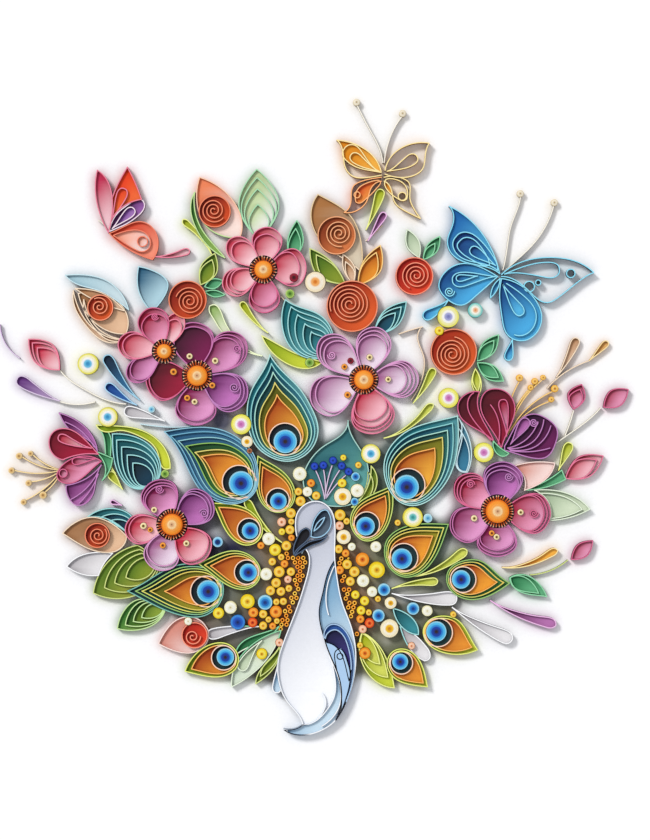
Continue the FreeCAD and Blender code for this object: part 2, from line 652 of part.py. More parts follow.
def feather(node, eye, radius, outline, nests):
    """Nested drops round an eye: a coil inside a round crescent strip."""
    outer = Loop(outline)
    tip = outline[0]
    lean = (CRESCENT_GROW - 1) * radius * 0.7
    share = lean / math.dist(eye, tip)
    middle = between(eye, tip, share)
    inner = [outer.scaled(ratio, eye) for ratio in nests]
    inner.append(Round(middle, radius * CRESCENT_GROW))
    seat = CARD_TOP + size("feather_tall") - INLAY_DROP
    coil("eye_coils", eye, radius - EYE_INSET, size("eye_coil_tall"), seat, cuts=False)
    quill(node, size("feather_tall"), [outer], inner, Round(eye, radius - EYE_INSET))


for node, (eye, radius, outline, nests) in FEATHERS.items():
    feather(node, eye, radius, outline, nests)

# Lilies: petals that open from a green cup, and their stamens
quill("lily_left", size("lily_tall"), [Loop(
    ((102, 461), (88, 456), (70, 460), (58, 473)), ((58, 473), (61, 481), (70, 483), (87, 474), (102, 461)))],
    [drop((76.5, 461), 3.4, (97, 458.5)), Round((64, 473), 4)])
quill("lily_left", size("lily_tall"), [Loop(
    ((99, 454), (84, 438), (66, 428.5), (54, 432), (50, 445), (56, 456), (64, 459.5)),
    ((64, 459.5), (80, 454.5), (99, 454)))], [drop((63, 438), 4, (92, 448), -0.03)])
quill("lily_left", size("lily_tall"), [Loop(
    ((98, 451), (91, 433), (78, 421), (60, 413)), ((60, 413), (64, 421), (70, 429), (84, 437), (98, 451)))],
    [Run(((66, 422), (82, 431), (95, 447)))])
quill("lily_left", size("lily_tall"), [Loop(
    ((102, 465), (84, 480), (67, 485)), ((67, 485), (69, 496), (78, 505), (90, 500), (96, 484), (102, 465)))],
    [Run(((72, 499), (86, 489), (98, 473))), Run(((80, 503), (91, 490), (99, 474)))])
quill("lily_left", size("lily_tall"), [Loop(
    ((91, 449), (101, 453), (113, 458)), ((113, 458), (111, 468), (103, 480)),
    ((103, 480), (106, 466), (103, 459), (91, 449)))])
quill("lily_right", size("lily_tall"), [Loop(
    ((493, 441), (500, 448), (508, 453)), ((508, 453), (501, 456), (494, 450), (493, 441)))])
quill("lily_right", size("lily_tall"), [Loop(
    ((500, 447), (488, 425), (480, 404), (485, 392), (497, 389), (508, 394), (514, 406), (510, 425), (501, 447)),
    ((501, 447), (500, 447)))],
    [drop((502.5, 404), 4.4, (506, 436), 0.02), Run(((497, 446), (499, 430), (496, 415), (490, 405)))])
quill("lily_right", size("lily_tall"), [Loop(
    ((494, 443), (474, 428), (459, 415), (458, 403), (466, 394), (479, 392)),
    ((479, 392), (478, 410), (486, 427), (494, 443)))],
    [Run(((490, 440), (473, 420), (467, 404), (473, 393)))])
quill("lily_right", size("lily_tall"), [Loop(
    ((504, 446), (512, 431), (522, 418), (532, 414), (545, 418), (556, 429), (554, 445), (547, 456),
     (528, 457), (504, 450)), ((504, 450), (504, 446)))],
    [drop((524, 423), 5, (510, 444)), Run(((507, 448), (529, 436), (537, 422))),
     Run(((508, 448.5), (534, 440), (543, 420))), Run(((509, 449.5), (537, 445), (550, 426))),
     Run(((510, 450.5), (535, 451), (549, 448))), Run(curl((533, 422.5), 4.2, 2, 0))])
STAMENS_LEFT = (
    ((19.6, 456), 3.4), ((12, 470.5), 3.2), ((29, 483), 3.2), ((43.5, 495), 3.8), ((24, 502), 3),
    ((31, 453.6), 2.8),
)
STAMENS_RIGHT = (
    ((519.3, 378), 3.6), ((534.5, 381.3), 3.4), ((554.4, 388.7), 3.8), ((542.8, 377.6), 2.8),
    ((530.4, 387.6), 3), ((551, 399.5), 3),
)
for node, root, heads, bend in (
    ("stamens_left", (62, 470), STAMENS_LEFT, 0.06), ("stamens_right", (508, 434), STAMENS_RIGHT, 0.08),
):
    for centre, radius in heads:
        coil(node, centre, radius, size("stem_tall"))
    for centre, radius in heads:
        start = between(centre, root, (radius + 0.8) / math.dist(centre, root))
        strip_only(node, size("stem_tall"), (start, between(centre, root, 0.5, bend), root))


# Leaves: outline, and the loops nested in it as a ratio about a shared foot
def foliage(node, foot, nests, *runs):
    outer = Loop(*runs)
    quill(node, size("leaf_tall"), [outer], [outer.scaled(ratio, foot) for ratio in nests])


def pointed(node, base, tip, left, right, nests=()):
    outer = leaf(base, tip, left, right)
    quill(node, size("leaf_tall"), [outer], [outer.scaled(ratio, base) for ratio in nests])


quill("paisley_left", size("leaf_tall"), [drop((112, 475), 3.6, (123, 489))])
coil("paisley_left", (165.3, 473.7), 4, size("leaf_tall"))
foliage("paisley_left", (148, 484), (0.88, 0.74, 0.58, 0.42), (
    (113, 434), (133, 436), (151, 446), (160, 461), (160, 476), (148, 487)),
    ((148, 487), (130, 486), (119, 473), (114, 455), (113, 434)))
foliage("paisley_left", (150, 470), (), (
    (97, 425), (118, 426), (138, 429), (157, 439), (168, 454), (170.5, 468)),
    ((170.5, 468), (164, 468), (158, 452), (140, 436), (118, 430.5), (108, 432), (97, 425)))
foliage("paisley_left", (110, 470), (), (
    (98, 427), (110, 434), (111, 456), (116, 473)), ((116, 473), (107, 460), (105, 440), (98, 427)))

coil("paisley_centre", (309.6, 362.7), 4.5, size("leaf_tall"))
coil("paisley_centre", (290, 294), 4.6, size("leaf_tall"))
foliage("paisley_centre", (326, 350), (0.86, 0.7, 0.52, 0.36), (
    (285.5, 300), (301, 308), (319, 315), (331, 329), (333, 344), (328, 356)),
    ((328, 356), (308, 358), (293, 350), (284, 334), (282, 315), (285.5, 300)))
foliage("paisley_centre", (312, 366), (), (
    (262, 336), (277, 344), (292, 352), (308, 358), (322, 362)),
    ((322, 362), (308, 368.5), (290, 365), (272, 352), (262, 336)))

pointed("leaves_upper_left", (152, 312), (139, 267), 0.14, 0.5)
pointed("leaves_upper_left", (125, 311), (76, 289), 0.05, 0.13)
foliage("leaves_upper_left", (240, 240), (), (
    (200, 178), (220, 188), (235, 204), (242, 222), (240, 238)),
    ((240, 238), (222, 236), (206, 226), (198, 208), (200, 178)))
foliage("leaves_upper_left", (224, 257), (), (
    (195, 193), (195, 210), (201, 228), (212, 243), (225, 258)),
    ((225, 258), (208, 246), (196, 228), (191, 210), (195, 193)))
foliage("leaves_upper_left", (128, 312), (), (
    (66, 275.6), (87, 275.5), (107, 281), (121, 293), (129, 310)),
    ((129, 310), (113, 298), (97, 290), (82, 286), (66, 275.6)))
foliage("leaves_upper_left", (126, 336), (0.8,), (
    (74, 291), (80, 310), (91, 326), (108, 337), (126, 340)),
    ((126, 340), (104, 341), (86, 325), (75, 306), (74, 291)))
foliage("leaves_upper_left", (124, 332), (), (
    (79, 294), (98, 292), (116, 300), (127, 314), (126, 334)),
    ((126, 334), (106, 330), (89, 316), (79, 294)))
pointed("leaves_upper_left", (201, 285), (215, 254), 0.22, 0.28, (0.8,))
pointed("leaves_upper_left", (205, 287), (223, 281), 0.25, 0.25)
pointed("leaves_upper_left", (205, 292), (225, 295), 0.14, 0.18)
quill("leaves_upper_left", size("leaf_tall"), [drop((185, 222), 2.6, (212, 255), 0.06)])

pointed("leaves_top", (259, 240), (257, 170), 0.27, 0.30, (0.88, 0.72, 0.5))
pointed("leaves_top", (291, 262), (297, 221), 0.15, 0.22, (0.8,))
pointed("leaves_top", (345, 284), (310, 249), 0.27, 0.12, (0.82,))
pointed("leaves_top", (353, 284), (343, 255), 0.14, 0.22, (0.75,))
pointed("leaves_top", (358, 285), (380, 246), 0.15, 0.28, (0.82,))
foliage("leaves_top", (359, 275), (), (
    (318, 195), (333, 203), (350, 216), (360, 238), (361, 272)),
    ((361, 272), (345, 260), (325, 246), (312, 224), (318, 195)))
pointed("leaves_top", (419, 258), (407, 230), 0.22, 0.2)
pointed("leaves_top", (423, 260), (439.5, 237), 0.18, 0.22, (0.7,))
quill("leaves_top", size("leaf_tall"), [drop((380, 194), 4.2, (366, 230), 0.02)])
quill("leaves_top", size("leaf_tall"), [drop((383, 216), 3.2, (368, 241))])
quill("leaves_top", size("leaf_tall"), [drop((213.5, 309.5), 4.8, (262, 356), -0.12)])
quill("leaves_top", size("leaf_tall"), [drop((243, 305), 3, (268, 333), -0.05)])

pointed("leaves_upper_right", (374, 335), (406, 302), 0.2, 0.22, (0.84, 0.66))
pointed("leaves_upper_right", (477, 361), (498, 335), 0.2, 0.22, (0.78,))
pointed("leaves_upper_right", (477, 363), (503, 381), 0.22, 0.24, (0.8,))
pointed("leaves_upper_right", (475, 369), (478, 397), 0.15, 0.18, (0.8,))
quill("leaves_upper_right", size("leaf_tall"), [drop((432, 372), 3.6, (413, 403), 0.03)])
quill("leaves_upper_right", size("leaf_tall"), [drop((430.5, 406), 3, (384, 438), 0.08)])
foliage("leaves_upper_right", (462, 468), (0.78,), (
    (458, 418), (467, 434), (471, 452), (467, 472)), ((467, 472), (457, 468), (458, 445), (458, 418)))
foliage("leaves_upper_right", (553, 463), (), (
    (513, 466), (533, 462), (554, 463)), ((554, 463), (548, 476), (536, 485), (524, 490)),
    ((524, 490), (524, 478), (513, 466)))
foliage("leaves_upper_right", (546, 510), (0.82,), (
    (534, 490), (552, 490), (571, 495), (589, 509)), ((589, 509), (573, 516), (550, 520)),
    ((550, 520), (549, 504), (534, 490)))
quill("leaves_upper_right", size("leaf_tall"), [drop((567.7, 447), 4.4, (558, 470))])
foliage("leaves_upper_right", (524, 489), (), (
    (524, 490), (543, 482), (556, 474), (561, 470)), ((561, 470), (565, 479)),
    ((565, 479), (545, 487), (524, 490)))

foliage("leaves_lower_left", (126, 534), (), (
    (63.4, 533), (78, 521), (92, 517), (108, 521), (127, 536)),
    ((127, 536), (118, 550), (98, 551), (79, 543), (63.4, 533)))
foliage("leaves_lower_left", (127, 533), (0.78, 0.56), (
    (88, 517), (104, 509), (119, 509), (131, 515), (131, 536)),
    ((131, 536), (118, 524), (104, 517.5), (88, 517)))
foliage("leaves_lower_left", (112, 553), (), (
    (67.5, 566), (82, 555), (98, 552), (113, 553)), ((113, 553), (104, 564), (99, 575)),
    ((99, 575), (82, 573.5), (67.5, 566)))
foliage("leaves_lower_left", (150, 566), (0.8, 0.62, 0.42), (
    (94, 592.5), (102, 570), (117, 554), (138, 545)), ((138, 545), (152, 556), (160, 572)),
    ((160, 572), (138, 594), (115, 598), (94, 592.5)))
foliage("leaves_lower_left", (162, 608), (0.82, 0.64, 0.45), (
    (118, 628), (124, 611), (136, 600), (150, 599), (165, 611)),
    ((165, 611), (158, 621), (140, 629), (118, 628)))
foliage("leaves_lower_left", (206, 634), (), (
    (159, 643), (167, 629), (180, 618), (194, 617), (206, 626)),
    ((206, 626), (207, 642), (196, 651), (178, 651), (159, 643)))
quill("leaves_lower_left", size("leaf_tall"), [drop((213, 633.5), 5, (259, 626), 0.03)])
quill("leaves_lower_left", size("leaf_tall"), [drop((243, 665), 5, (262, 640), 0.05)])
foliage("leaves_lower_left", (279, 632), (), (
    (232, 686), (236, 664), (250, 646), (281, 630)), ((281, 630), (274, 648), (256, 670), (232, 686)))
foliage("leaves_lower_left", (279, 645), (0.8,), (
    (256, 683), (259, 672), (269, 660), (280, 645)), ((280, 645), (277, 662), (268, 674), (256, 683)))
foliage("leaves_lower_left", (279, 628), (), (
    (236, 654), (240, 644), (258, 634), (279, 626)), ((279, 626), (266, 638), (250, 646), (236, 654)))

quill("leaves_lower_right", size("leaf_tall"), [drop((450, 598), 6.4, (392, 593), 0.04)])
quill("leaves_lower_right", size("leaf_tall"), [drop((506, 637), 6, (452, 607), 0.03)])
quill("leaves_lower_right", size("leaf_tall"), [drop((463, 552), 4, (414, 576), 0.06)])
quill("leaves_lower_right", size("leaf_tall"), [drop((434, 581), 3.4, (392, 588), -0.04)])
quill("leaves_lower_right", size("leaf_tall"), [drop((551, 623), 4.6, (490, 600), 0.05)])
quill("leaves_lower_right", size("leaf_tall"), [drop((554, 551), 3.2, (502, 567), 0.08)])
quill("leaves_lower_right", size("leaf_tall"), [drop((247.5, 502.5), 3.4, (282, 542), -0.06)])
foliage("leaves_lower_right", (506, 580), (0.8,), (
    (510, 577), (526, 575), (538, 583), (546, 596)), ((546, 596), (530, 594), (516, 589), (510, 577)))
foliage("leaves_lower_right", (396, 612), (), (
    (393, 608), (406, 613), (416, 623), (418, 634)), ((418, 634), (406, 630), (397, 620), (393, 608)))
foliage("leaves_lower_right", (398, 628), (), (
    (400, 626), (414, 634), (425, 645), (430, 655), (424, 660)),
    ((424, 660), (413, 652), (405, 640), (400, 626)))
foliage("leaves_lower_right", (362, 634), (0.8, 0.55), (
    (362, 632), (377, 643), (387, 660), (394, 687)), ((394, 687), (375, 680), (362, 662), (362, 632)))
foliage("leaves_lower_right", (350, 506), (0.85,), (
    (371, 466), (377, 480), (374, 492), (352, 507)), ((352, 507), (366, 490), (371, 466)))

# Big loop of paper behind the crest
foliage("crown_leaf", (334, 505), (), (
    (348, 420.5), (343, 433), (324, 446), (311, 459), (304, 474), (312, 500)),
    ((312, 500), (334, 506), (358, 500), (368, 480), (365, 458), (354, 440), (348, 420.5)))

# Buds on their stems, and loose strips and sprays
BUDS = (
    ((60, 370), (29.5, 339.5), 0.27, 0.30, (0.88, 0.72)), ((573, 409), (581, 384.6), 0.38, 0.28, (0.8,)),
    ((603, 407), (627.4, 389.6), 0.30, 0.28, ()), ((565, 478), (602.5, 456), 0.26, 0.24, (0.82,)),
    ((571, 559), (592, 540.5), 0.24, 0.26, ()),
)
for base, tip, left, right, nests in BUDS:
    pointed("buds", base, tip, left, right, nests)
SPRAY_DROPS = (
    ((22.5, 381.5), 5.4, (60, 401), -0.03), ((108.5, 360), 5, (140, 400), -0.05),
    ((110, 387.5), 4.4, (137, 405), -0.03),
    ((130, 411.5), 5.2, (165, 421), 0.02), ((575, 342), 4, (556, 377), 0.03), ((605, 344), 3, (589, 360.5), 0.0),
    ((113, 502), 2.0, (122, 505), 0.0),
)
for head, radius, tip, lean in SPRAY_DROPS:
    quill("sprays", size("stem_tall"), [drop(head, radius, tip, lean)])
SPRAY_STRIPS = (
    ((61, 371), (70, 380), (86, 390), (104, 399), (126, 404)), ((60, 401.5), (76, 404.5), (95, 402)),
    ((141, 424), (160, 426.5), (182, 427), (200, 424)), ((588, 361), (572, 368), (556, 379), (547, 388)),
    ((600, 408), (584, 423), (570, 433), (556, 443)), ((573, 411), (569, 424), (564, 437)),
    ((567, 560), (553, 569), (530, 574.5)), ((566, 477), (556, 474)), ((0.5, 325), (6, 344), (20, 358)),
    ((422, 327), (411, 330), (399, 334)), ((420, 329), (418, 342), (423, 355), (423, 374), (411, 400)),
    ((382, 226), (374, 234), (366, 241)), ((281.5, 297), (286, 302)), ((304, 549), (302, 553)),
)
strip_only("sprays", size("stem_tall"), *SPRAY_STRIPS)

# Ring beads packed either side of the neck: each field is a strip of rows, top to bottom
BEAD_FIELDS = (
    ("ring_beads_left", ((278, 540), (272, 560), (272, 580), (268, 600), (262, 620), (270, 640), (277, 648)),
     ((297, 540), (312, 560), (310, 580), (302, 600), (294, 620), (286, 640), (282, 648))),
    ("ring_beads_right", ((331, 545), (334, 560), (337, 580), (341, 600), (347, 620), (354, 640), (357, 650)),
     ((352, 545), (352, 560), (357, 580), (366, 600), (374, 620), (368, 636), (363, 648))),
)


def across(edge, level):
    """Where an edge of a bead field lies at one level of the grid."""
    for upper, lower in zip(edge, edge[1:]):
        if upper[1] <= level <= lower[1]:
            share = (level - upper[1]) / (lower[1] - upper[1])
            return upper[0] + (lower[0] - upper[0]) * share
    return edge[-1][0]


BODY_FACE = Loop(BODY_LEFT, BODY_FOOT, BODY_RIGHT).face()
BEAK_FACES = [Loop(BEAK_UPPER, BEAK_MIDDLE).face(), Loop(BEAK_LOWER, BEAK_LOWER_EDGE).face()]
for node, west, east in BEAD_FIELDS:
    pitch = size("bead_pitch") / STEP
    level = west[0][1]
    odd = False
    beads = 0
    while level < west[-1][1]:
        place = across(west, level) + (pitch / 2 if odd else 0)
        while place < across(east, level):
            spot = at((place, level))
            clear = all(
                math.dist((place, level), other) * STEP > reach + size("bead_radius") + GAP
                for other, reach in coils
            )
            point = Part.Vertex(spot)
            walled = any(
                face.distToShape(point)[0] < size("bead_radius") + HALF_WALL + GAP
                for face in [BODY_FACE] + BEAK_FACES
            ) or any(
                face.distToShape(point)[0] < size("bead_radius") + GAP
                for face in footprints
                if face.BoundBox.intersect(point.BoundBox)
            )
            if clear and not walled:
                ring = Part.makeCylinder(size("bead_radius"), size("bead_tall"), spot + UP * CARD_TOP)
                hole = Part.makeCylinder(size("bead_bore"), size("bead_tall"), spot + UP * CARD_TOP)
                bead = ring.cut(hole)
                node_shapes.setdefault(node, []).append(bead)
                beads += 1
            place += pitch
        level += pitch * math.sqrt(3) / 2
        odd = not odd
    print(node, beads, "beads")


# Backing card
card = doc.addObject("Part::Box", "backing_card")
card.setExpression("Length", f"{GRID_WIDE} * Sizes.grid_step + 2 * Sizes.card_margin")
card.setExpression("Width", f"{GRID_LONG} * Sizes.grid_step + 2 * Sizes.card_margin")
card.setExpression("Height", "Sizes.card_thick")
card.setExpression("Placement.Base.x", f"-{GRID_WIDE} * Sizes.grid_step / 2 - Sizes.card_margin")
card.setExpression("Placement.Base.y", f"-{GRID_LONG} * Sizes.grid_step / 2 - Sizes.card_margin")
card.Label = "backing_card"

for node, solids in node_shapes.items():
    motif = doc.addObject("Part::Feature", node)
    motif.Shape = Part.makeCompound(solids)
    motif.Label = node

doc.recompute()
parts = [thing for thing in doc.Objects if thing is not sheet]
for part in parts:
    if "Invalid" in part.State or "Error" in part.State:
        raise RuntimeError(f"{part.Label} did not build")
    if part.Shape.isNull() or not part.Shape.isValid():
        raise RuntimeError(f"{part.Label} has no valid shape")
for part in parts:
    part.Shape.exportStep(f"parts/{part.Label}.step")
    print(part.Label, len(part.Shape.Solids), "solids", round(part.Shape.Volume, 1), "mm3")
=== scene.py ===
"""Looks of a quilled paper picture: strips on edge, rolled coils and coloured paper inlays."""
import json
import math
import random

import bpy
import numpy
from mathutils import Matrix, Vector
from mathutils.geometry import tessellate_polygon
from mathutils.kdtree import KDTree


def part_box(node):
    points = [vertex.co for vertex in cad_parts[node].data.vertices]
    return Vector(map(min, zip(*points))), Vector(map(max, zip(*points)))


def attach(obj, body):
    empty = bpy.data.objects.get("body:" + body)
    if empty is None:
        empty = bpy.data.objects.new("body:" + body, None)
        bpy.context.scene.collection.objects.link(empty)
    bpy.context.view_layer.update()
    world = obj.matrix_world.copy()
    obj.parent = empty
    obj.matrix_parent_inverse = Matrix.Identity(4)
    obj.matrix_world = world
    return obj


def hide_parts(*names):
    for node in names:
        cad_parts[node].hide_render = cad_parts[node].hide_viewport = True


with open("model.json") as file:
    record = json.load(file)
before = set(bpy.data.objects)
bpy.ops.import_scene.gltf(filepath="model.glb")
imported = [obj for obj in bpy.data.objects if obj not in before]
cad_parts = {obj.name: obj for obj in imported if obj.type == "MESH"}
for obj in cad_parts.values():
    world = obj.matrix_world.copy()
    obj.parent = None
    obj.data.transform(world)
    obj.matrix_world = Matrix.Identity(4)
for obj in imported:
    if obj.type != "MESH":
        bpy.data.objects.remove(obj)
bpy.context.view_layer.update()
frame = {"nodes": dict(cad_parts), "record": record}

random.seed(7)

# The drawing's own grid: x to the right and y down, one step is 0.43 mm on the card
GRID_WIDE = 650
GRID_LONG = 840
STEP = 0.43e-3
MM = 1e-3
card_low, card_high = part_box("backing_card")
CARD_TOP = card_high.z
# How far the coloured inlays lie below the edges of their strips
INLAY_DROP = 1.2 * MM
# Tolerances: of a simplified outline, of a flat face, of a disc, and of lengths and areas near zero
SLACK = 0.012 * MM
FLATNESS = 0.005 * MM
CARD_CLEAR = 0.1 * MM
ROUNDNESS = 0.04
ROUND_SLACK = 0.02 * MM
TINY = 1e-9
# Levels and points that round to the same step per metre are one
LEVEL_STEPS = 1e5
POINT_STEPS = 1e6
# An outline with fewer points than this is kept as it is
FEWEST_POINTS = 8
# A wall is creased where the cosine of its turn is below this
CREASE = 0.75

# Tight coils: width of a turn, groove between turns, bevel, rise of the middle and dip of the hub
TURN = 0.45 * MM
FEWEST_TURNS = 3
GROOVE = 0.16 * MM
BEVEL = 0.04
DOME = 0.35 * MM
HEART_DOME = 0.9 * MM
HUB_DIP = 0.2 * MM
SMALL_COIL = 2 * MM
SMALL_COIL_SIDES = 28
COIL_SIDES = 44
COIL_FOOT_SHADE = (0.35, 0.3, 0.3)
GROOVE_SHADE = (0.80, 0.78, 0.78)
HUB_SHADE = 0.7
# Each colour of a coil holds this share of its zone, then blends into the next
PLAIN_SHARE = 0.55
# A coil takes the kind named for a place within this many grid steps
KIND_REACH = 4.0

# Strips: shade at the foot, and of a feather's sides
FOOT_SHADE = 0.5
SIDE_SHADE = 0.75
# How many places of an inlay's outline tell which strip it belongs to
OUTLINE_VOTES = 40
# Lit share of a cell's gradient: its slope and its start
GRADIENT_SLOPE = 1.45
GRADIENT_START = 0.33
# Size of a cell against its motif at which the next colour band starts
BAND_SHARES = (0.93, 0.80, 0.66, 0.50)

# Crescent round a feather's eye, in eye radii, and its rim and tolerance in grid steps
CRESCENT_LEAN = 0.196
CRESCENT_SIZE = 1.28
CRESCENT_RIM = 0.9
CRESCENT_SLACK = 0.2

# Ring beads: radius and height of each turn of the profile, from the foot over the rim into the hole
BEAD_PROFILE = (
    (0.95, -4.0), (0.95, -0.3), (0.8, 0.0), (0.62, 0.05), (0.46, -0.15), (0.4, -0.8), (0.4, -3.7),
)
BEAD_SIDES = 20

# Fringe hairs: spacing and spread of the angle, shortest and longest reach, width, depth of foot and
# tip below the top, the two colours they vary between, how much the first prevails, the foot's colour
DARK_HAIRS = (0.5, 0.2, (2.0, 3.1), 0.3, (2.0, 3.0), ("2c0818", "5c1428"), 1, None)
PALE_HAIRS = (0.95, 0.15, (1.3, 2.3), 0.5, (0.6, 0.0), ("fce4c4", "f4a080"), 2, "c85c1c")
HAIR_GAP = 0.05 * MM
HAIR_DEEP = 0.35 * MM
HAIR_ARCH = 0.2 * MM
# Half width of a hair at its foot, middle and tip, as shares of its width
HAIR_HALVES = (0.42, 0.5, 0.36)
# Shortest gradient, and how far past its ends an outline's side still counts
LEAST_SPAN = 1e-6
BESIDE_SLACK = 0.01

# Card: its mesh step, how often each face is sampled, and how far the painted reflection and shade spread,
# in mesh steps
CARD_CELL = 1.0 * MM
SAMPLES = 3
FACING_UP = 0.5
NEAR_REACH = 2
FAR_REACH = 5
LEAST_COVER = 0.02
# Painted reflection of the paper's colour on the card: gain and most
REFLECT_GAIN = 0.75
MOST_REFLECT = 0.55
# Painted shade in the dark gaps of the fan: where it starts to show, over how much cover, how sharp the
# fan ends, how dark
GAP_START = 0.42
GAP_SPAN = 0.2
FAN_REACH = 1.15
FAN_EDGE = 4
GAP_DEPTH = 0.85
GAP_EVEN = 20
# Painted shade spots in other gaps: how fast they darken and how dark at most
SPOT_GAIN = 1.4
SPOT_DEPTH = 0.9


def grid_of(place):
    """A place on the card as a grid point."""
    return (place[0] / STEP + GRID_WIDE / 2, GRID_LONG / 2 - place[1] / STEP)


def linear(text):
    """Colour from its usual six-digit form, as linear light."""
    channels = [int(text[index:index + 2], 16) / 255 for index in (0, 2, 4)]
    return tuple(c / 12.92 if c <= 0.04045 else ((c + 0.055) / 1.055) ** 2.4 for c in channels)


def mixed(first, second, share):
    """The first colour, moved by the share towards the second."""
    return tuple(a + (b - a) * share for a, b in zip(first, second))


def clamped(value):
    return min(max(value, 0.0), 1.0)


# Paper colours: cells from the outer loop inward as (shaded end, lit end), then rim, the strips' top in
# painted highlight, and side, in painted shade
PALETTES = {
    "white": ((("c0c4d2", "fbfcff"), ("7ca8c8", "d4e8f4")), "f4f6fa", "a4b4c8"),
    "wing": ((("0c1e44", "2f66b4"), ("2b5aa6", "8fb4e6"), ("14143f", "4d4493")), "a9c8e8", "1d3c78"),
    "cheek": ((("4f9fd2", "2a67a6"), ("14283c", "5b6c7c")), "9cc8e4", "1f5286"),
    "beak": ((("0b0b10", "1c1c26"),), "4c5e78", "0a0a0e"),
    "crown_leaf": ((("2d6a70", "5fa3a0"),), "a8d2c8", "0c3c44"),
    "crimson": ((("4c0418", "9c1438"), ("9c0c34", "f4a4c8")), "d4648c", "5c0820"),
    "rosy": ((("a01434", "dc4460"), ("cc2848", "fcd4dc")), "ec849c", "7c1028"),
    "plum": ((("380420", "7c1450"), ("7c0c48", "f0a4d8")), "c470a8", "3c0828"),
    "violet": ((("2c042c", "6c1858"), ("5c0c54", "d07cc8")), "bc7cb8", "300830"),
    "lilac": ((("540428", "8c1c54"), ("9c5488", "f8e8f8")), "d898c8", "5a0c38"),
    "scarlet": ((("700420", "b81440"), ("b81438", "fcc4d0")), "e47898", "701020"),
    "green": ((("2c6a2c", "74a84c"), ("3c7c2c", "a0c860"), ("285818", "6c9c2c"), ("486c10", "98b03c")),
              "c4e49c", "1c481c"),
    "lime": ((("8ca40c", "d4dc3c"), ("a8b40c", "e0e468")), "ecf08c", "64780c"),
    "olive": ((("5c7c1c", "a0a83c"), ("4c7010", "90a02c")), "d0dc84", "38500c"),
    "emerald": ((("0c5c30", "48a068"), ("187040", "6cc08c")), "8cd4a4", "08401c"),
    "teal": ((("0c6c74", "6cbcc4"), ("0c545c", "3c98a4"), ("063c48", "2c7c8c"), ("042c3c", "185c74"),
              ("04202c", "0c3c54")), "a0dcdc", "06343c"),
    "powder": ((("a4c8d4", "dcecf0"), ("4c8ca4", "a8d0e0"), ("14506c", "3c84a4")), "c8e4ec", "34708c"),
    "sage": ((("b8ccb4", "e4eedc"), ("a8bc9c", "dce8cc")), "e4f0d8", "7c9078"),
    "peach": ((("a07048", "ecc4a0"), ("b88458", "f0d0b0")), "f4dcc0", "8c5c34"),
    "blush": ((("d48878", "f8e4e0"),), "fae0d8", "b86c5c"),
    "pearl": ((("b4b0b4", "eceaec"),), "f8f8fa", "94949c"),
    "amber": ((("c87c0c", "f4b43c"), ("b85c04", "f09c2c")), "fcd080", "944c04"),
    "butter": ((("e4a40c", "fcd45c"), ("e08c0c", "fcc04c")), "fce4a0", "b87808"),
    "ember": ((("e0480c", "f88c3c"), ("d03808", "f49c44")), "fcb478", "a02c04"),
    "sky": ((("0c4c8c", "4cb4ec"), ("0c60a8", "5cc4f4"), ("083c7c", "3ca0e0")), "8cdcf4", "062c54"),
    "straw": ((("c88c3c", "ecc078"),), "f8dca0", "b0742c"),
    "rust": ((("8c1c04", "d84c1c"),), "f08864", "7c1400"),
    "brick": ((("a02404", "e05c24"),), "f49470", "8c1c00"),
    "tan": ((("8c3810", "dc7c44"),), "f0a878", "74280c"),
    "coral": ((("a81404", "e84424"),), "f89074", "941000"),
    "lavender": ((("64307c", "c4a8d4"),), "d8c4e0", "7c5090"),
    "denim": ((("0c2840", "3c84b8"),), "a0d0e8", "0c3c60"),
    "royal": ((("063c88", "3c78c4"),), "a8d4f0", "0c4c88"),
    "ivory": ((("d8ccb0", "f4ecdc"),), "f8f2e4", "b4a88c"),
    "mauve": ((("5c1c50", "c078b8"),), "ecb8e4", "541c4c"),
    "wing_pink": ((("c02850", "f8d4dc"), ("e8380c", "f47038")), "e88098", "8c1030"),
    "wing_violet": ((("4c1450", "a468b8"), ("5c2080", "b888d0")), "f0dce8", "5c1040"),
    "wing_orange": ((("d83814", "f8987c"), ("f49878", "fcf0ec")), "f08468", "a81c10"),
    "salmon_leaf": ((("ec8458", "fcece4"),), "f8c8a8", "c86c40"),
    "tan_leaf": ((("a8703c", "dcd0b8"),), "e8cca0", "7c5028"),
    "spire": ((("1c8478", "b4e4dc"), ("4c9838", "c4dc9c"), ("c4d8a0", "fcfcf8")), "a8dcb0", "1c6458"),
    "blue_leaf": ((("1c5878", "b8dce8"),), "b4dce8", "144c68"),
    "pale_sweep": ((("94b464", "f4f8dc"),), "f0f8cc", "7c9c50"),
}

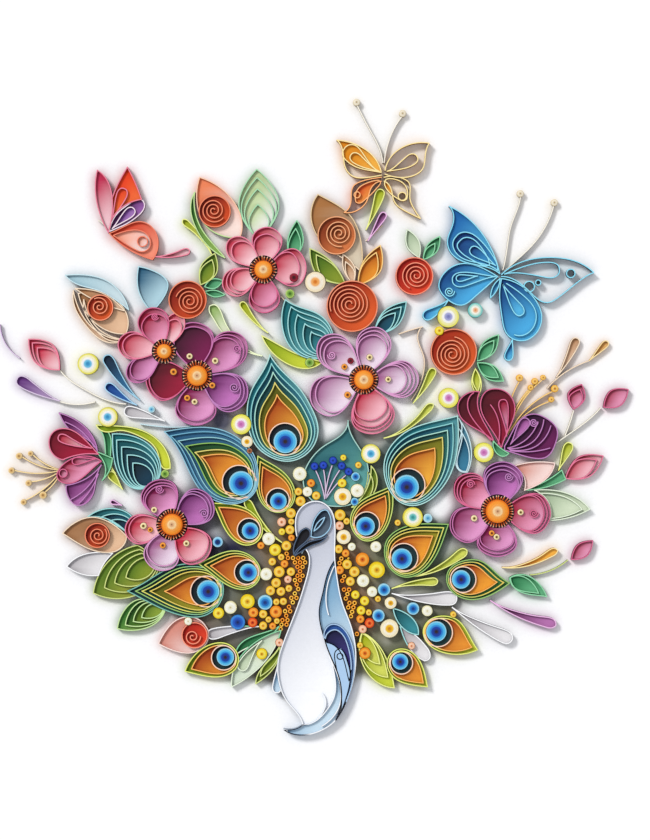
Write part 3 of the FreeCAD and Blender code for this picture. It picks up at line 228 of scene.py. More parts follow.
# Which colours a motif takes: one palette, or grid places and the palette of what lies nearest
ZONES = {
    "peacock_body": "white",
    "peacock_wing": "wing",
    "peacock_cheek": "cheek",
    "peacock_beak": "beak",
    "crown_leaf": "crown_leaf",
    "crest_stalks": "lavender",
    "flower_a_petals": (
        (236, 250, "rosy"), (268, 240, "scarlet"), (295, 265, "scarlet"), (267, 300, "crimson"),
        (236, 285, "rosy"),
    ),
    "flower_b_petals": (
        (152, 322, "crimson"), (177, 322, "rosy"), (130, 342, "scarlet"), (137, 372, "plum"),
    ),
    "flower_c_petals": (
        (193, 340, "plum"), (234, 350, "plum"), (233, 395, "violet"), (195, 408, "plum"),
        (160, 380, "crimson"),
    ),
    "flower_d_petals": (
        (333, 350, "lilac"), (378, 342, "lilac"), (405, 378, "lilac"), (373, 415, "scarlet"),
        (328, 398, "lilac"),
    ),
    "flower_e_petals": (
        (158, 495, "plum"), (200, 505, "violet"), (196, 548, "scarlet"), (160, 555, "lilac"),
        (136, 529, "scarlet"),
    ),
    "flower_f_petals": (
        (503, 478, "violet"), (470, 488, "crimson"), (462, 524, "plum"), (496, 545, "plum"),
        (533, 511, "crimson"),
    ),
    "lily_left": (
        (80, 470, "crimson"), (68, 444, "scarlet"), (76, 426, "violet"), (84, 490, "violet"),
        (106, 462, "emerald"),
    ),
    "lily_right": (
        (497, 410, "crimson"), (470, 410, "crimson"), (534, 438, "violet"), (501, 451, "emerald"),
    ),
    "stamens_left": "straw",
    "stamens_right": "amber",
    "rose_1": "rust",
    "rose_2": "tan",
    "rose_3": "coral",
    "rose_4": "brick",
    "rose_5": "rust",
    "rose_6": "brick",
    "rose_7": "brick",
    "rose_8": "rust",
    "rose_9": "coral",
    "butterfly_red": (
        (103, 205, "wing_pink"), (123, 195, "wing_pink"), (130, 215, "wing_violet"),
        (137, 240, "wing_orange"), (180, 253, "rosy"),
    ),
    "butterfly_orange": (
        (360, 160, "butter"), (405, 160, "butter"), (362, 195, "ember"), (400, 198, "butter"),
    ),
    "butterfly_blue": "sky",
    "antennae": "ivory",
    "paisley_left": ((140, 465, "teal"), (140, 431, "lime"), (108, 450, "emerald"), (117, 481, "lime")),
    "paisley_centre": ((308, 335, "teal"), (292, 358, "lime"), (309.6, 362.7, "lime")),
    "leaves_upper_left": (
        (150, 290, "blue_leaf"), (225, 205, "salmon_leaf"), (197, 222, "green"), (195, 238, "lime"),
        (95, 280, "powder"), (115, 300, "peach"), (104, 320, "peach"), (208, 268, "olive"),
        (214, 284, "emerald"), (214, 293, "emerald"),
    ),
    "leaves_top": (
        (258, 205, "spire"), (294, 240, "emerald"), (325, 264, "olive"), (348, 268, "peach"),
        (371, 262, "amber"), (335, 235, "tan_leaf"), (412, 244, "sage"), (431, 248, "emerald"),
        (375, 208, "lime"), (376, 228, "mauve"), (236, 325, "pale_sweep"), (255, 318, "lime"),
    ),
    "leaves_upper_right": (
        (392, 318, "teal"), (488, 347, "emerald"), (491, 372, "emerald"), (476, 384, "lime"),
        (424, 385, "lime"), (410, 415, "lime"), (464, 448, "powder"), (538, 472, "blush"),
        (562, 504, "sage"), (563, 455, "lime"), (546, 480, "emerald"),
    ),
    "leaves_lower_left": (
        (78, 534, "peach"), (115, 516, "teal"), (90, 563, "pearl"), (130, 575, "olive"),
        (142, 614, "green"), (176, 640, "blush"), (230, 631, "pearl"), (248, 658, "sage"),
        (268, 668, "olive"), (256, 640, "emerald"),
    ),
    "leaves_lower_right": (
        (430, 597, "pearl"), (486, 626, "pearl"), (440, 565, "lime"), (418, 583, "lime"),
        (525, 612, "mauve"), (530, 560, "butter"), (265, 522, "lime"), (528, 585, "emerald"),
        (407, 622, "teal"), (418, 643, "pearl"), (378, 665, "lime"), (368, 487, "olive"),
    ),
    "buds": (
        (45, 354, "rosy"), (577, 398, "crimson"), (614, 398, "crimson"), (585, 467, "scarlet"),
        (580, 550, "crimson"),
    ),
    "sprays": (
        (35, 389, "lavender"), (116, 372, "denim"), (118, 392, "royal"), (142, 413, "pearl"),
        (568, 355, "peach"), (599, 350, "straw"), (117, 503, "mauve"), (90, 395, "ivory"),
        (170, 426, "powder"), (590, 420, "ivory"), (420, 350, "peach"), (550, 570, "olive"),
    ),
}

# Colours of a feather from its outline inward: shaded end, lit end, and rim, the strips' top in painted
# highlight
SEA_BANDS = (
    ("1c7884", "8cccd0", "b0e0dc"), ("0c5468", "4c9cb0", "8cd0d0"), ("0c4448", "3c8c80", "a8dccc"),
    ("5c5c04", "a8a028", "e0d474"), ("a84404", "f8b83c", "fcb45c"),
)
STEEL_BANDS = (
    ("245c84", "5c98bc", "8cc0d4"), ("0c3464", "3c74a4", "6cacc8"), ("1c5078", "4c90b0", "8cc4cc"),
    ("0c3c20", "3c7c38", "8cbc5c"), ("5c5c04", "a8a028", "e0d474"), ("a84404", "f8a830", "fcb45c"),
)
LEAF_BANDS = (
    ("2c5c1c", "90a838", "c8dc74"), ("545804", "a89c20", "e4cc60"), ("a03c04", "f09c30", "fcac54"),
)
LIME_BANDS = (
    ("6c8c08", "c8cc34", "e4ec74"), ("a03c04", "f09c30", "fcb45c"),
)
DEEP_BANDS = (
    ("083c44", "2c6c68", "7cbcac"), ("0c3c2c", "3c7c40", "94c06c"), ("5c6404", "a8a828", "dcdc6c"),
    ("646404", "b0a428", "e4cc60"), ("a84004", "f8a830", "fcb45c"),
)
# Tail feathers: eye centre and radius, nested loops, bands, outline from the tip round and back
FEATHERS = {
    "feather_crown": ((285.4, 441.5), 12.5, (0.9, 0.80, 0.68, 0.54), (
        (270, 355), (261.5, 374), (252, 390), (247.5, 409), (249, 428), (256, 445), (271, 457), (289, 461),
        (305, 455), (315, 443), (318, 427.5), (312, 409), (299, 388), (284, 373)), SEA_BANDS),
    "feather_left_1": ((241.3, 483.2), 13, (0.92, 0.82, 0.72, 0.60, 0.52), (
        (164.7, 431.7), (194, 427.5), (222, 430), (241, 440), (253.5, 454), (258, 472), (256, 490),
        (240, 502.5), (219, 501.5), (204, 493), (193, 478), (182, 455)), STEEL_BANDS),
    "feather_left_2": ((278.6, 501), 9, (0.88, 0.76), (
        (258, 456), (256.5, 475), (257.5, 492), (264, 505), (278, 512), (290, 507), (295, 495), (291, 481),
        (281, 470), (269, 462.5)), LEAF_BANDS),
    "feather_left_3": ((250.4, 530.5), 9, (0.85,), (
        (213.5, 503), (230, 504), (246.5, 508.5), (258, 518), (262.5, 531), (256, 542), (244.5, 544.5),
        (232, 537.5), (222, 522)), LIME_BANDS),
    "feather_left_4": ((248.6, 572), 9.5, (0.88, 0.76), (
        (199, 563.5), (214, 556), (233, 550.5), (250, 555), (260, 568), (258.5, 580), (246, 588.5),
        (232, 586.5), (216, 576.5)), LEAF_BANDS),
    "feather_left_5": ((208.6, 591), 12, (0.9, 0.82, 0.72, 0.54), (
        (128, 590.5), (150, 579), (174, 566), (196, 563.5), (215, 570.5), (223.5, 587), (219, 604),
        (203, 615.5), (181, 614.5), (156, 605)), DEEP_BANDS),
    "feather_left_6": ((225.7, 656.5), 9.5, (0.84,), (
        (185.5, 670.5), (196, 653.5), (212, 643.5), (228, 643.5), (237.5, 653), (237, 666), (226, 674.5),
        (208, 675.5)), LIME_BANDS),
    "feather_right_1": ((406.5, 487), 13, (0.9, 0.8, 0.7, 0.55), (
        (457, 416), (434, 421.5), (410, 429.5), (394, 442), (385, 458), (384.5, 476), (392, 494),
        (406, 504.5), (423, 503), (438, 492), (450, 474), (457, 448)), SEA_BANDS),
    "feather_right_2": ((365.5, 526), 10, (0.88, 0.76), (
        (391, 486), (372, 494.5), (357, 504.5), (350.5, 518), (354, 532), (366, 540.5), (380, 535),
        (389, 521), (392.5, 505)), LEAF_BANDS),
    "feather_right_3": ((401.7, 558.4), 11, (0.9, 0.8, 0.66), (
        (448, 524), (424, 523.5), (401, 528), (387, 539.5), (385, 557), (391, 569), (404, 576.5),
        (420, 572.5), (434, 558), (442, 541)), DEEP_BANDS[1:]),
    "feather_right_4": ((460.7, 579), 10, (0.88, 0.74), (
        (509, 582.5), (494, 571), (480, 560.5), (463, 560.5), (449, 569), (447, 583), (456, 594.5),
        (472, 599), (490, 594.5)), DEEP_BANDS[1:2] + DEEP_BANDS[3:]),
    "feather_right_5": ((436, 631), 11, (0.86,), (
        (477, 649), (467, 632), (457, 619.5), (442, 615.5), (428, 620.5), (423, 632), (430, 645),
        (444, 652), (460, 653.5)), LIME_BANDS),
    "feather_right_6": ((400, 661), 8.7, (0.85,), (
        (427, 686), (423.5, 670), (415.5, 655), (404, 648.5), (392, 651.5), (387, 664), (393.5, 676.5),
        (407, 683)), LIME_BANDS),
}
CRESCENT = ("04101c", "1c3c3c", "f8d4bc")

# Rolled coils: colours from the rim inward, by share of the radius
COIL_KINDS = {
    "eye": (
        (1.0, "a8e4f8"), (0.86, "54c0f0"), (0.6, "2c8cdc"), (0.46, "1440a8"), (0.26, "1a3484"),
        (0.14, "2c2028"),
    ),
    "gold": ((1.0, "f8c82c"), (0.62, "fcdc6c"), (0.34, "f0ac1c"), (0.12, "c87c10")),
    "yellow": ((1.0, "f4d40c"), (0.6, "fcec5c"), (0.26, "e8b00c"), (0.1, "b07808")),
    "orange": ((1.0, "f49014"), (0.62, "fcb444"), (0.3, "e87008"), (0.12, "a04404")),
    "ember": ((1.0, "e84c10"), (0.6, "f88038"), (0.3, "d03808"), (0.12, "7c1c04")),
    "peach": ((1.0, "f8b890"), (0.6, "fcd8bc"), (0.3, "f0a070"), (0.12, "a85c34")),
    "white": ((1.0, "f4f0c0"), (0.74, "fcfcf0"), (0.32, "f4f4dc"), (0.12, "d8c898")),
    "cream": ((1.0, "fcf0c8"), (0.62, "fcf8e4"), (0.4, "f4c020"), (0.16, "d89010")),
    "blue": ((1.0, "a8e0f4"), (0.72, "4cb0e8"), (0.48, "1c70c4"), (0.2, "103c88")),
    "royal": ((1.0, "3c8ce0"), (0.62, "1c58c4"), (0.34, "103c98"), (0.12, "0c2460")),
    "sky": ((1.0, "f0e860"), (0.76, "fcf8c8"), (0.56, "fcfcfc"), (0.34, "6cc4e8"), (0.16, "3c98cc")),
    "violet": ((1.0, "f0ec70"), (0.76, "f8f4b0"), (0.54, "fcfcfc"), (0.32, "a8acdc"), (0.14, "8488c4")),
    "magenta": ((1.0, "f0ec58"), (0.74, "f8f490"), (0.54, "fcf8fc"), (0.32, "dc94cc"), (0.14, "c870b4")),
    "mint": ((1.0, "7cd0cc"), (0.74, "c0ecdc"), (0.54, "fcfcf0"), (0.3, "f8c8a0"), (0.12, "e89868")),
    "aqua": ((1.0, "f0e44c"), (0.76, "f8f4a8"), (0.54, "fcfcf4"), (0.32, "74c8c4"), (0.14, "3c9c9c")),
    "powder": ((1.0, "c8ecf4"), (0.7, "a0d8ec"), (0.4, "70bce0"), (0.16, "3c88b8")),
    "ring": ((1.0, "a8dcf4"), (0.66, "6cc0ec"), (0.52, "0c3c84"), (0.2, "08285c")),
    "bisque": ((1.0, "fcecc8"), (0.7, "fcf4e0"), (0.36, "f8b060"), (0.14, "e08024")),
    "brown": ((1.0, "c08058"), (0.5, "8c5030"), (0.2, "54280c")),
    "tip": ((1.0, "1438a8"), (0.6, "2450d0"), (0.2, "0c2878")),
    "seed": ((1.0, "fcecc0"), (0.6, "f8dca0"), (0.36, "7c6830"), (0.12, "443810")),
    "seed_orange": ((1.0, "fcb050"), (0.6, "f49020"), (0.36, "7c4010"), (0.12, "442008")),
    "seed_dark": ((1.0, "a02038"), (0.6, "7c1028"), (0.3, "400814")),
    "heart": (
        (1.0, "f0780c"), (0.8, "fc9c2c"), (0.56, "f8a84c"), (0.38, "fcd8a0"), (0.2, "e8b888"),
        (0.06, "b07c54"),
    ),
    "stamen": ((1.0, "f8b83c"), (0.6, "fcd478"), (0.24, "c87c1c")),
    "straw": ((1.0, "f4d8a0"), (0.6, "e8c07c"), (0.24, "a87c44")),
    "leafy": ((1.0, "b4d470"), (0.6, "7cac44"), (0.24, "44701c")),
    "dot": ((1.0, "f0e4c4"), (0.6, "f8f0dc"), (0.24, "c8b48c")),
}
# The coil kinds by node: the kind of most coils, then grid places of the others
COIL_ROWS = {
    "collar_coils": ("gold", {
        "blue": ((356, 476), (354, 502), (265, 602), (384, 589), (413, 608), (378, 615)),
        "royal": ((238, 622),),
        "white": (
            (300, 474), (308, 492), (357, 490), (269, 538), (266, 574), (231, 607), (376, 546),
            (363, 580), (372, 591), (427, 610), (189, 621), (352, 546),
        ),
        "cream": ((343, 496), (344, 537), (389, 628), (390, 602)),
        "orange": (
            (311, 483), (285, 563), (346, 553), (362, 559), (340, 570), (276, 611), (254, 612),
            (273, 626), (365, 652), (360, 619), (292, 538), (261, 545),
        ),
        "ember": ((253, 622), (369, 623)),
        "yellow": (
            (343, 458), (342, 483), (275, 550), (282, 532), (377, 570), (248, 601), (219, 613),
            (262, 653), (364, 600), (355, 594), (361, 610),
        ),
        "peach": ((288, 579), (280, 642), (363, 629), (282, 522), (340, 526), (411, 645)),
    }),
    "accent_coils": ("seed", {
        "violet": ((448, 317),),
        "mint": ((475, 310),),
        "yellow": ((439, 331),),
        "sky": ((89, 364), (108, 417), (371, 454)),
        "magenta": ((241, 424), (448, 398), (483, 452)),
        "cream": ((247, 442),),
        "brown": ((250, 451),),
        "aqua": ((413, 517),),
        "powder": ((428, 518), (152, 409)),
        "ring": ((218, 542),),
        "bisque": ((315, 282),),
        "seed_orange": (
            (174, 372), (213, 386), (344, 367), (348, 395), (151, 529), (163, 545), (491, 533),
            (188, 398),
        ),
        "seed_dark": ((294, 278), (350, 361)),
    }),
    "eye_coils": ("eye", {}),
    "crest_tips": ("tip", {}),
    "flower_centres": ("heart", {}),
}
# Coils glued among the strips of other nodes
MIXED_COILS = {
    "stamens_left": "straw", "stamens_right": "stamen", "antennae": "dot",
    "paisley_left": "leafy", "paisley_centre": "leafy",
}

# Colours of the painted shade on the card in the deep gaps inside the tail fan
GAP_SHADES = (
    (250, 425, "4c3020"), (250, 505, "0c3030"), (232, 548, "0c1440"), (258, 520, "2c3410"),
    (300, 515, "3c3408"), (275, 545, "4c3404"), (290, 600, "5c3004"), (345, 545, "4c3404"),
    (355, 600, "5c3004"), (245, 600, "1c2c14"), (345, 460, "0c3840"), (320, 470, "24483c"),
    (380, 500, "1c3c1c"), (380, 560, "3c4410"), (440, 440, "102c48"), (430, 540, "1c4428"),
    (200, 560, "1c1c3c"), (200, 640, "4c3c20"), (390, 640, "44480c"), (460, 500, "381c34"),
)
# The tail fan as an ellipse: centre and half sizes
FAN = (322, 560, 150, 145)
# Painted shade in dark gaps elsewhere: place, radius and colour
SHADE_SPOTS = (
    (222, 420, 20, "141448"), (250, 402, 17, "6a4c34"), (233, 552, 16, "14143c"), (210, 548, 12, "1c1434"),
    (452, 300, 9, "5c4c2c"), (335, 452, 14, "0c444c"), (180, 545, 10, "2c1030"),
)
PAPER_WHITE = linear("fbfbfd")


def paper_material(name):
    """Matt coloured strip paper: fine fibres, faint mottling, colour from the piece itself."""
    material = bpy.data.materials.new(name)
    material.use_nodes = True
    nodes = material.node_tree.nodes
    link = material.node_tree.links.new
    nodes.clear()
    out = nodes.new("ShaderNodeOutputMaterial")
    shader = nodes.new("ShaderNodeBsdfPrincipled")
    link(shader.outputs["BSDF"], out.inputs["Surface"])
    where = nodes.new("ShaderNodeTexCoord")

    def noise(scale, detail):
        made = nodes.new("ShaderNodeTexNoise")
        made.inputs["Scale"].default_value = scale
        made.inputs["Detail"].default_value = detail
        link(where.outputs["Object"], made.inputs["Vector"])
        return made

    fibre = noise(2600, 4)
    mottle = noise(900, 3)
    both = nodes.new("ShaderNodeMath")
    both.operation = "ADD"
    link(fibre.outputs["Fac"], both.inputs[0])
    link(mottle.outputs["Fac"], both.inputs[1])
    shade = nodes.new("ShaderNodeMapRange")
    for side, value in (("From Min", 0.6), ("From Max", 1.4), ("To Min", 0.96), ("To Max", 1.02)):
        shade.inputs[side].default_value = value
    link(both.outputs["Value"], shade.inputs["Value"])
    tint = nodes.new("ShaderNodeAttribute")
    tint.attribute_name = "Tint"
    grain = nodes.new("ShaderNodeMix")
    grain.data_type = "RGBA"
    grain.blend_type = "MULTIPLY"
    grain.inputs["Factor"].default_value = 1.0
    link(tint.outputs["Color"], grain.inputs["A"])
    link(shade.outputs["Result"], grain.inputs["B"])
    link(grain.outputs["Result"], shader.inputs["Base Color"])
    rise = nodes.new("ShaderNodeBump")
    rise.inputs["Strength"].default_value = 0.25
    rise.inputs["Distance"].default_value = 0.05 * MM
    link(fibre.outputs["Fac"], rise.inputs["Height"])
    link(rise.outputs["Normal"], shader.inputs["Normal"])
    shader.inputs["Roughness"].default_value = 0.72
    shader.inputs["Specular IOR Level"].default_value = 0.3
    return material


MATERIALS = {}


def make_piece(name, slot, points, faces, tints, replaced, smooth=True):
    """A mesh piece with a colour at each of its points, in place of the nodes it replaces."""
    mesh = bpy.data.meshes.new(name)
    mesh.from_pydata(points, [], faces)
    mesh.update()
    layer = mesh.color_attributes.new("Tint", "FLOAT_COLOR", "POINT")
    flat = []
    for tint in tints:
        flat.extend((tint[0], tint[1], tint[2], 1.0))
    layer.data.foreach_set("color", flat)
    if smooth:
        mesh.shade_smooth()
    if slot not in MATERIALS:
        MATERIALS[slot] = paper_material(f"{slot}_look")
    mesh.materials.append(MATERIALS[slot])
    piece = bpy.data.objects.new(name, mesh)
    bpy.context.collection.objects.link(piece)
    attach(piece, "root")
    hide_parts(*replaced)
    return piece


def slot_of(node):
    """The material slot that the part's record gives the node."""
    for entry in frame["record"]["subparts"]:
        if entry["node"] == node:
            return entry["material_slot"]
    raise KeyError(node)


def coil_kind(node, place):
    """Which kind of coil lies at a grid point of the node."""
    if node in MIXED_COILS:
        return MIXED_COILS[node]
    usual, rows = COIL_ROWS[node]
    best = usual
    closest = KIND_REACH
    for kind, places in rows.items():
        for other in places:
            away = math.dist(other, place)
            if away < closest:
                closest = away
                best = kind
    return best


def rolled(builder, centre, radius, low, top, kind, dome=DOME):
    """Tight coil: a rolled strip whose turns show as fine ridges, slightly domed."""
    zones = [(share, linear(text)) for share, text in COIL_KINDS[kind]]
    turns = max(FEWEST_TURNS, round(radius / TURN))
    around = SMALL_COIL_SIDES if radius < SMALL_COIL else COIL_SIDES
    start = len(builder.points)
    rows = [(1.0, low - top)]
    for step in range(2 * turns):
        share = 1 - step / (2 * turns)
        ridge = 0.0 if step % 2 == 0 else -GROOVE
        bevel = BEVEL if step == 0 else 0.0
        rows.append((share - bevel, ridge + dome * (1 - share * share)))
    for number, (share, rise) in enumerate(rows):
        rank = sum(1 for zone in zones[1:] if zone[0] >= share)
        reach, colour = zones[rank]
        if rank + 1 < len(zones):
            blend = (reach - share) / (reach - zones[rank + 1][0])
            blend = clamped((blend - PLAIN_SHARE) / (1 - PLAIN_SHARE))
            colour = mixed(colour, zones[rank + 1][1], blend)
        shade = (1.0, 1.0, 1.0)
        if number == 0:
            shade = COIL_FOOT_SHADE
        elif number % 2 == 0:
            shade = GROOVE_SHADE
        tint = tuple(c * s for c, s in zip(colour, shade))
        builder.ring(centre, radius * share, top + rise, around, tint)
    last = builder.turned(start, len(rows), around)
    hub = len(builder.points)
    builder.points.append((centre[0], centre[1], top + dome - HUB_DIP))
    builder.tints.append(tuple(c * HUB_SHADE for c in zones[-1][1]))
    for step in range(around):
        builder.faces.append((last + step, last + (step + 1) % around, hub))


def simplified(loop, slack):
    """A closed loop with the points that lie within slack of its line taken out."""
    count = len(loop)
    if count < FEWEST_POINTS:
        return loop
    far = max(range(count), key=lambda index: math.dist(loop[index], loop[0]))
    keep = {0, far}
    stack = [(0, far), (far, count)]
    while stack:
        first, last = stack.pop()
        if last - first < 2:
            continue
        ax, ay = loop[first]
        bx, by = loop[last % count]
        dx = bx - ax
        dy = by - ay
        length = math.hypot(dx, dy)
        worst = 0.0
        where = first
        for index in range(first + 1, last):
            px, py = loop[index]
            if length < TINY:
                away = math.hypot(px - ax, py - ay)
            else:
                away = abs((px - ax) * dy - (py - ay) * dx) / length
            if away > worst:
                worst = away
                where = index
        if worst > slack:
            keep.add(where)
            stack.append((first, where))
            stack.append((where, last))
    return [loop[index] for index in sorted(keep)]


def loop_area(loop):
    """Signed area of a closed loop, positive where it runs anticlockwise."""
    return sum(a[0] * b[1] - b[0] * a[1] for a, b in zip(loop, loop[1:] + loop[:1])) / 2


class Region:
    """A flat area of the part seen from above: its outer loop, its holes and its height."""

    def __init__(self, outer, height):
        self.outer = outer
        self.holes = []
        self.height = height
        xs = [point[0] for point in outer]
        ys = [point[1] for point in outer]
        self.box = (min(xs), min(ys), max(xs), max(ys))
        self.middle = ((self.box[0] + self.box[2]) / 2, (self.box[1] + self.box[3]) / 2)
        self.diagonal = math.hypot(self.box[2] - self.box[0], self.box[3] - self.box[1])
        self.area = loop_area(outer)

    def disc(self):
        """The radius where the area is a full disc, or None."""
        wide = self.box[2] - self.box[0]
        long = self.box[3] - self.box[1]
        if self.holes or abs(wide - long) > ROUNDNESS * wide + ROUND_SLACK:
            return None
        if abs(self.area - math.pi * wide * long / 4) > ROUNDNESS * self.area:
            return None
        return wide / 2

    def holds(self, place):
        """True where the place lies inside the outer loop."""
        x, y = place
        if not (self.box[0] <= x <= self.box[2] and self.box[1] <= y <= self.box[3]):
            return False
        within = False
        for (ax, ay), (bx, by) in zip(self.outer, self.outer[1:] + self.outer[:1]):
            if (ay > y) != (by > y) and x < (bx - ax) * (y - ay) / (by - ay) + ax:
                within = not within
        return within

    def loops(self):
        return [self.outer] + self.holes

    def triangles(self):
        flat = [point for loop in self.loops() for point in loop]
        rings = [[Vector((x, y, 0)) for x, y in loop] for loop in self.loops()]
        faces = []
        for a, b, c in tessellate_polygon(rings):
            (ax, ay), (bx, by), (cx, cy) = flat[a], flat[b], flat[c]
            turn = (bx - ax) * (cy - ay) - (cx - ax) * (by - ay)
            faces.append((a, b, c) if turn > 0 else (a, c, b))
        return flat, faces


def chained(rim):
    """Closed loops of point numbers, from the directed edges of a rim."""
    after = {}
    for start, end in rim:
        after.setdefault(start, []).append(end)
    chains = []
    while after:
        start = next(iter(after))
        chain = [start]
        here = start
        while here in after:
            following = after[here].pop()
            if not after[here]:
                del after[here]
            if following == start:
                break
            chain.append(following)
            here = following
        if len(chain) > 2:
            chains.append(chain)
    return chains


def regions_of(node):
    """The flat tops and the inlays of a node, as regions."""
    mesh = frame["nodes"][node].data
    mesh.calc_loop_triangles()
    edge_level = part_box(node)[1].z - INLAY_DROP / 2
    points = numpy.empty(len(mesh.vertices) * 3)
    mesh.vertices.foreach_get("co", points)
    points = points.reshape(-1, 3)
    corners = numpy.empty(len(mesh.loop_triangles) * 3, dtype=numpy.int64)
    mesh.loop_triangles.foreach_get("vertices", corners)
    corners = corners.reshape(-1, 3)
    levels = points[corners][:, :, 2]
    highest = levels.max(axis=1)
    flat = highest - levels.min(axis=1) < FLATNESS
    found = []
    for wanted in (
        flat & (highest > edge_level),
        flat & (highest > CARD_TOP + CARD_CLEAR) & (highest <= edge_level),
    ):
        regions = []
        chosen = corners[wanted]
        heights = numpy.round(highest[wanted] * LEVEL_STEPS).astype(numpy.int64)
        for level in numpy.unique(heights):
            part = chosen[heights == level]
            used, where = numpy.unique(part, return_inverse=True)
            keys = numpy.round(points[used][:, :2] * POINT_STEPS).astype(numpy.int64)
            merged, back = numpy.unique(keys, axis=0, return_inverse=True)
            triangles = back.reshape(-1)[where.reshape(-1)].reshape(-1, 3)
            spots = merged / POINT_STEPS
            a, b, c = (spots[triangles[:, index]] for index in range(3))
            along = (b - a) * (c - a)[:, ::-1]
            turn = along[:, 0] - along[:, 1]
            triangles[turn < 0] = triangles[turn < 0][:, ::-1]
            edges = numpy.concatenate([triangles[:, [0, 1]], triangles[:, [1, 2]], triangles[:, [2, 0]]])
            edges = edges[edges[:, 0] != edges[:, 1]]
            size = len(spots) + 1
            forward = edges[:, 0] * size + edges[:, 1]
            backward = edges[:, 1] * size + edges[:, 0]
            rim = edges[~numpy.isin(forward, backward)]
            loops = [[tuple(spots[index]) for index in chain] for chain in chained(rim.tolist())]
            height = level / LEVEL_STEPS
            outers = [Region(simplified(loop, SLACK), height) for loop in loops if loop_area(loop) > TINY]
            for loop in loops:
                if loop_area(loop) < -TINY:
                    around = [region for region in outers if region.holds(loop[0])]
                    if around:
                        home = min(around, key=lambda region: region.area)
                        home.holes.append(simplified(loop, SLACK))
            regions.extend(outers)
        found.append(regions)
    return found


class Builder:
    """Collects points, faces and colours for one piece."""

    def __init__(self):
        self.points = []
        self.faces = []
        self.tints = []

    def cap(self, region, colour):
        """The flat top of a region."""
        flat, faces = region.triangles()
        start = len(self.points)
        for x, y in flat:
            self.points.append((x, y, region.height))
            self.tints.append(colour((x, y)))
        self.faces.extend((start + a, start + b, start + c) for a, b, c in faces)

    def wall(self, region, low, colour):
        """The upright sides of a region, darker towards the foot."""
        for loop in region.loops():
            count = len(loop)
            for index in range(count):
                before = loop[index - 1]
                here = loop[index]
                after = loop[(index + 1) % count]
                first = (here[0] - before[0], here[1] - before[1])
                second = (after[0] - here[0], after[1] - here[1])
                lengths = math.hypot(*first) * math.hypot(*second)
                bend = (first[0] * second[0] + first[1] * second[1]) / max(lengths, TINY * TINY)
                now = self.upright(here, region.height, low, colour)
                if index == 0:
                    begun = now
                    last = now
                    continue
                self.faces.append((last, last + 1, now + 1, now))
                last = self.upright(here, region.height, low, colour) if bend < CREASE else now
            self.faces.append((last, last + 1, begun + 1, begun))

    def upright(self, place, high, low, colour):
        """Two points one above the other, the lower one in shade."""
        start = len(self.points)
        bright = colour(place)
        self.points.append((place[0], place[1], high))
        self.points.append((place[0], place[1], low))
        self.tints.append(bright)
        self.tints.append(tuple(c * FOOT_SHADE for c in bright))
        return start

    def ring(self, centre, reach, height, around, tint):
        """A level ring of points."""
        for step in range(around):
            angle = 2 * math.pi * step / around
            x = centre[0] + reach * math.cos(angle)
            y = centre[1] + reach * math.sin(angle)
            self.points.append((x, y, height))
            self.tints.append(tint)

    def turned(self, start, rows, around):
        """Faces between rows of points that lie in rings; the first point of the last row."""
        for row in range(rows - 1):
            for step in range(around):
                nearer = start + row * around + step
                beside = start + row * around + (step + 1) % around
                self.faces.append((nearer, beside, beside + around, nearer + around))
        return start + (rows - 1) * around

    def piece(self, name, node):
        """The collected mesh as a piece that stands in for the node."""
        return make_piece(name, slot_of(node), self.points, self.faces, self.tints, (node,))


def strips_piece(node, colour_cell, colour_rim, colour_side):
    """Standing strips and coloured inlays of one node, with its tight coils rolled anew."""
    builder = Builder()
    tops, cells = regions_of(node)
    walls = [region for region in tops if region.disc() is None]
    for region in tops:
        radius = region.disc()
        if radius is not None:
            kind = coil_kind(node, grid_of(region.middle))
            rolled(builder, region.middle, radius, CARD_TOP, region.height, kind)
    spots = []
    for number, region in enumerate(walls):
        spots.extend((point, number) for loop in region.loops() for point in loop)
    tree = KDTree(len(spots))
    for index, (point, number) in enumerate(spots):
        tree.insert((point[0], point[1], 0), index)
    tree.balance()
    for region in walls:
        # Tops take the rim colour, the strip's top in painted highlight; sides take the side colour, in
        # painted shade, darker still at the foot
        builder.cap(region, lambda place, r=region: colour_rim(place, r))
        builder.wall(region, CARD_TOP, lambda place, r=region: colour_side(place, r))
    for region in cells:
        votes = {}
        for x, y in region.outer[::max(1, len(region.outer) // OUTLINE_VOTES)]:
            number = spots[tree.find((x, y, 0))[1]][1]
            votes[number] = votes.get(number, 0) + 1
        home = walls[max(votes, key=votes.get)]
        region.height = home.height - INLAY_DROP
        colour = colour_cell(region, home)
        start = min(x - y for x, y in region.outer)
        span = max(max(x - y for x, y in region.outer) - start, LEAST_SPAN)
        builder.cap(region, lambda place, c=colour, b=start, s=span: c((place[0] - place[1] - b) / s))
    return builder.piece(f"{node}_quilled", node)


def gradient(pair):
    """A cell's colour from its shaded end, at the upper left, to its lit end."""
    shaded = linear(pair[0])
    lit = linear(pair[1])

    def colour(share):
        return mixed(shaded, lit, clamped(GRADIENT_SLOPE * share - GRADIENT_START))

    return colour


def palette_at(node, centre):
    """The node's palette, or the one named for the zone that lies nearest."""
    zones = ZONES[node]
    if isinstance(zones, str):
        return PALETTES[zones]
    here = grid_of(centre)
    nearest = min(zones, key=lambda zone: math.dist(zone[:2], here))
    return PALETTES[nearest[2]]


def motif_piece(node):
    """A motif whose colours come from the palettes of its zones."""

    def colour_cell(region, home):
        bands, rim, side = palette_at(node, home.middle)
        if len(bands) == 1:
            return gradient(bands[0])
        rank = sum(1 for share in BAND_SHARES if region.diagonal / home.diagonal < share)
        return gradient(bands[min(rank, len(bands) - 1)])

    def colour_rim(place, home):
        return linear(palette_at(node, home.middle)[1])

    def colour_side(place, home):
        return linear(palette_at(node, home.middle)[2])

    return strips_piece(node, colour_cell, colour_rim, colour_side)


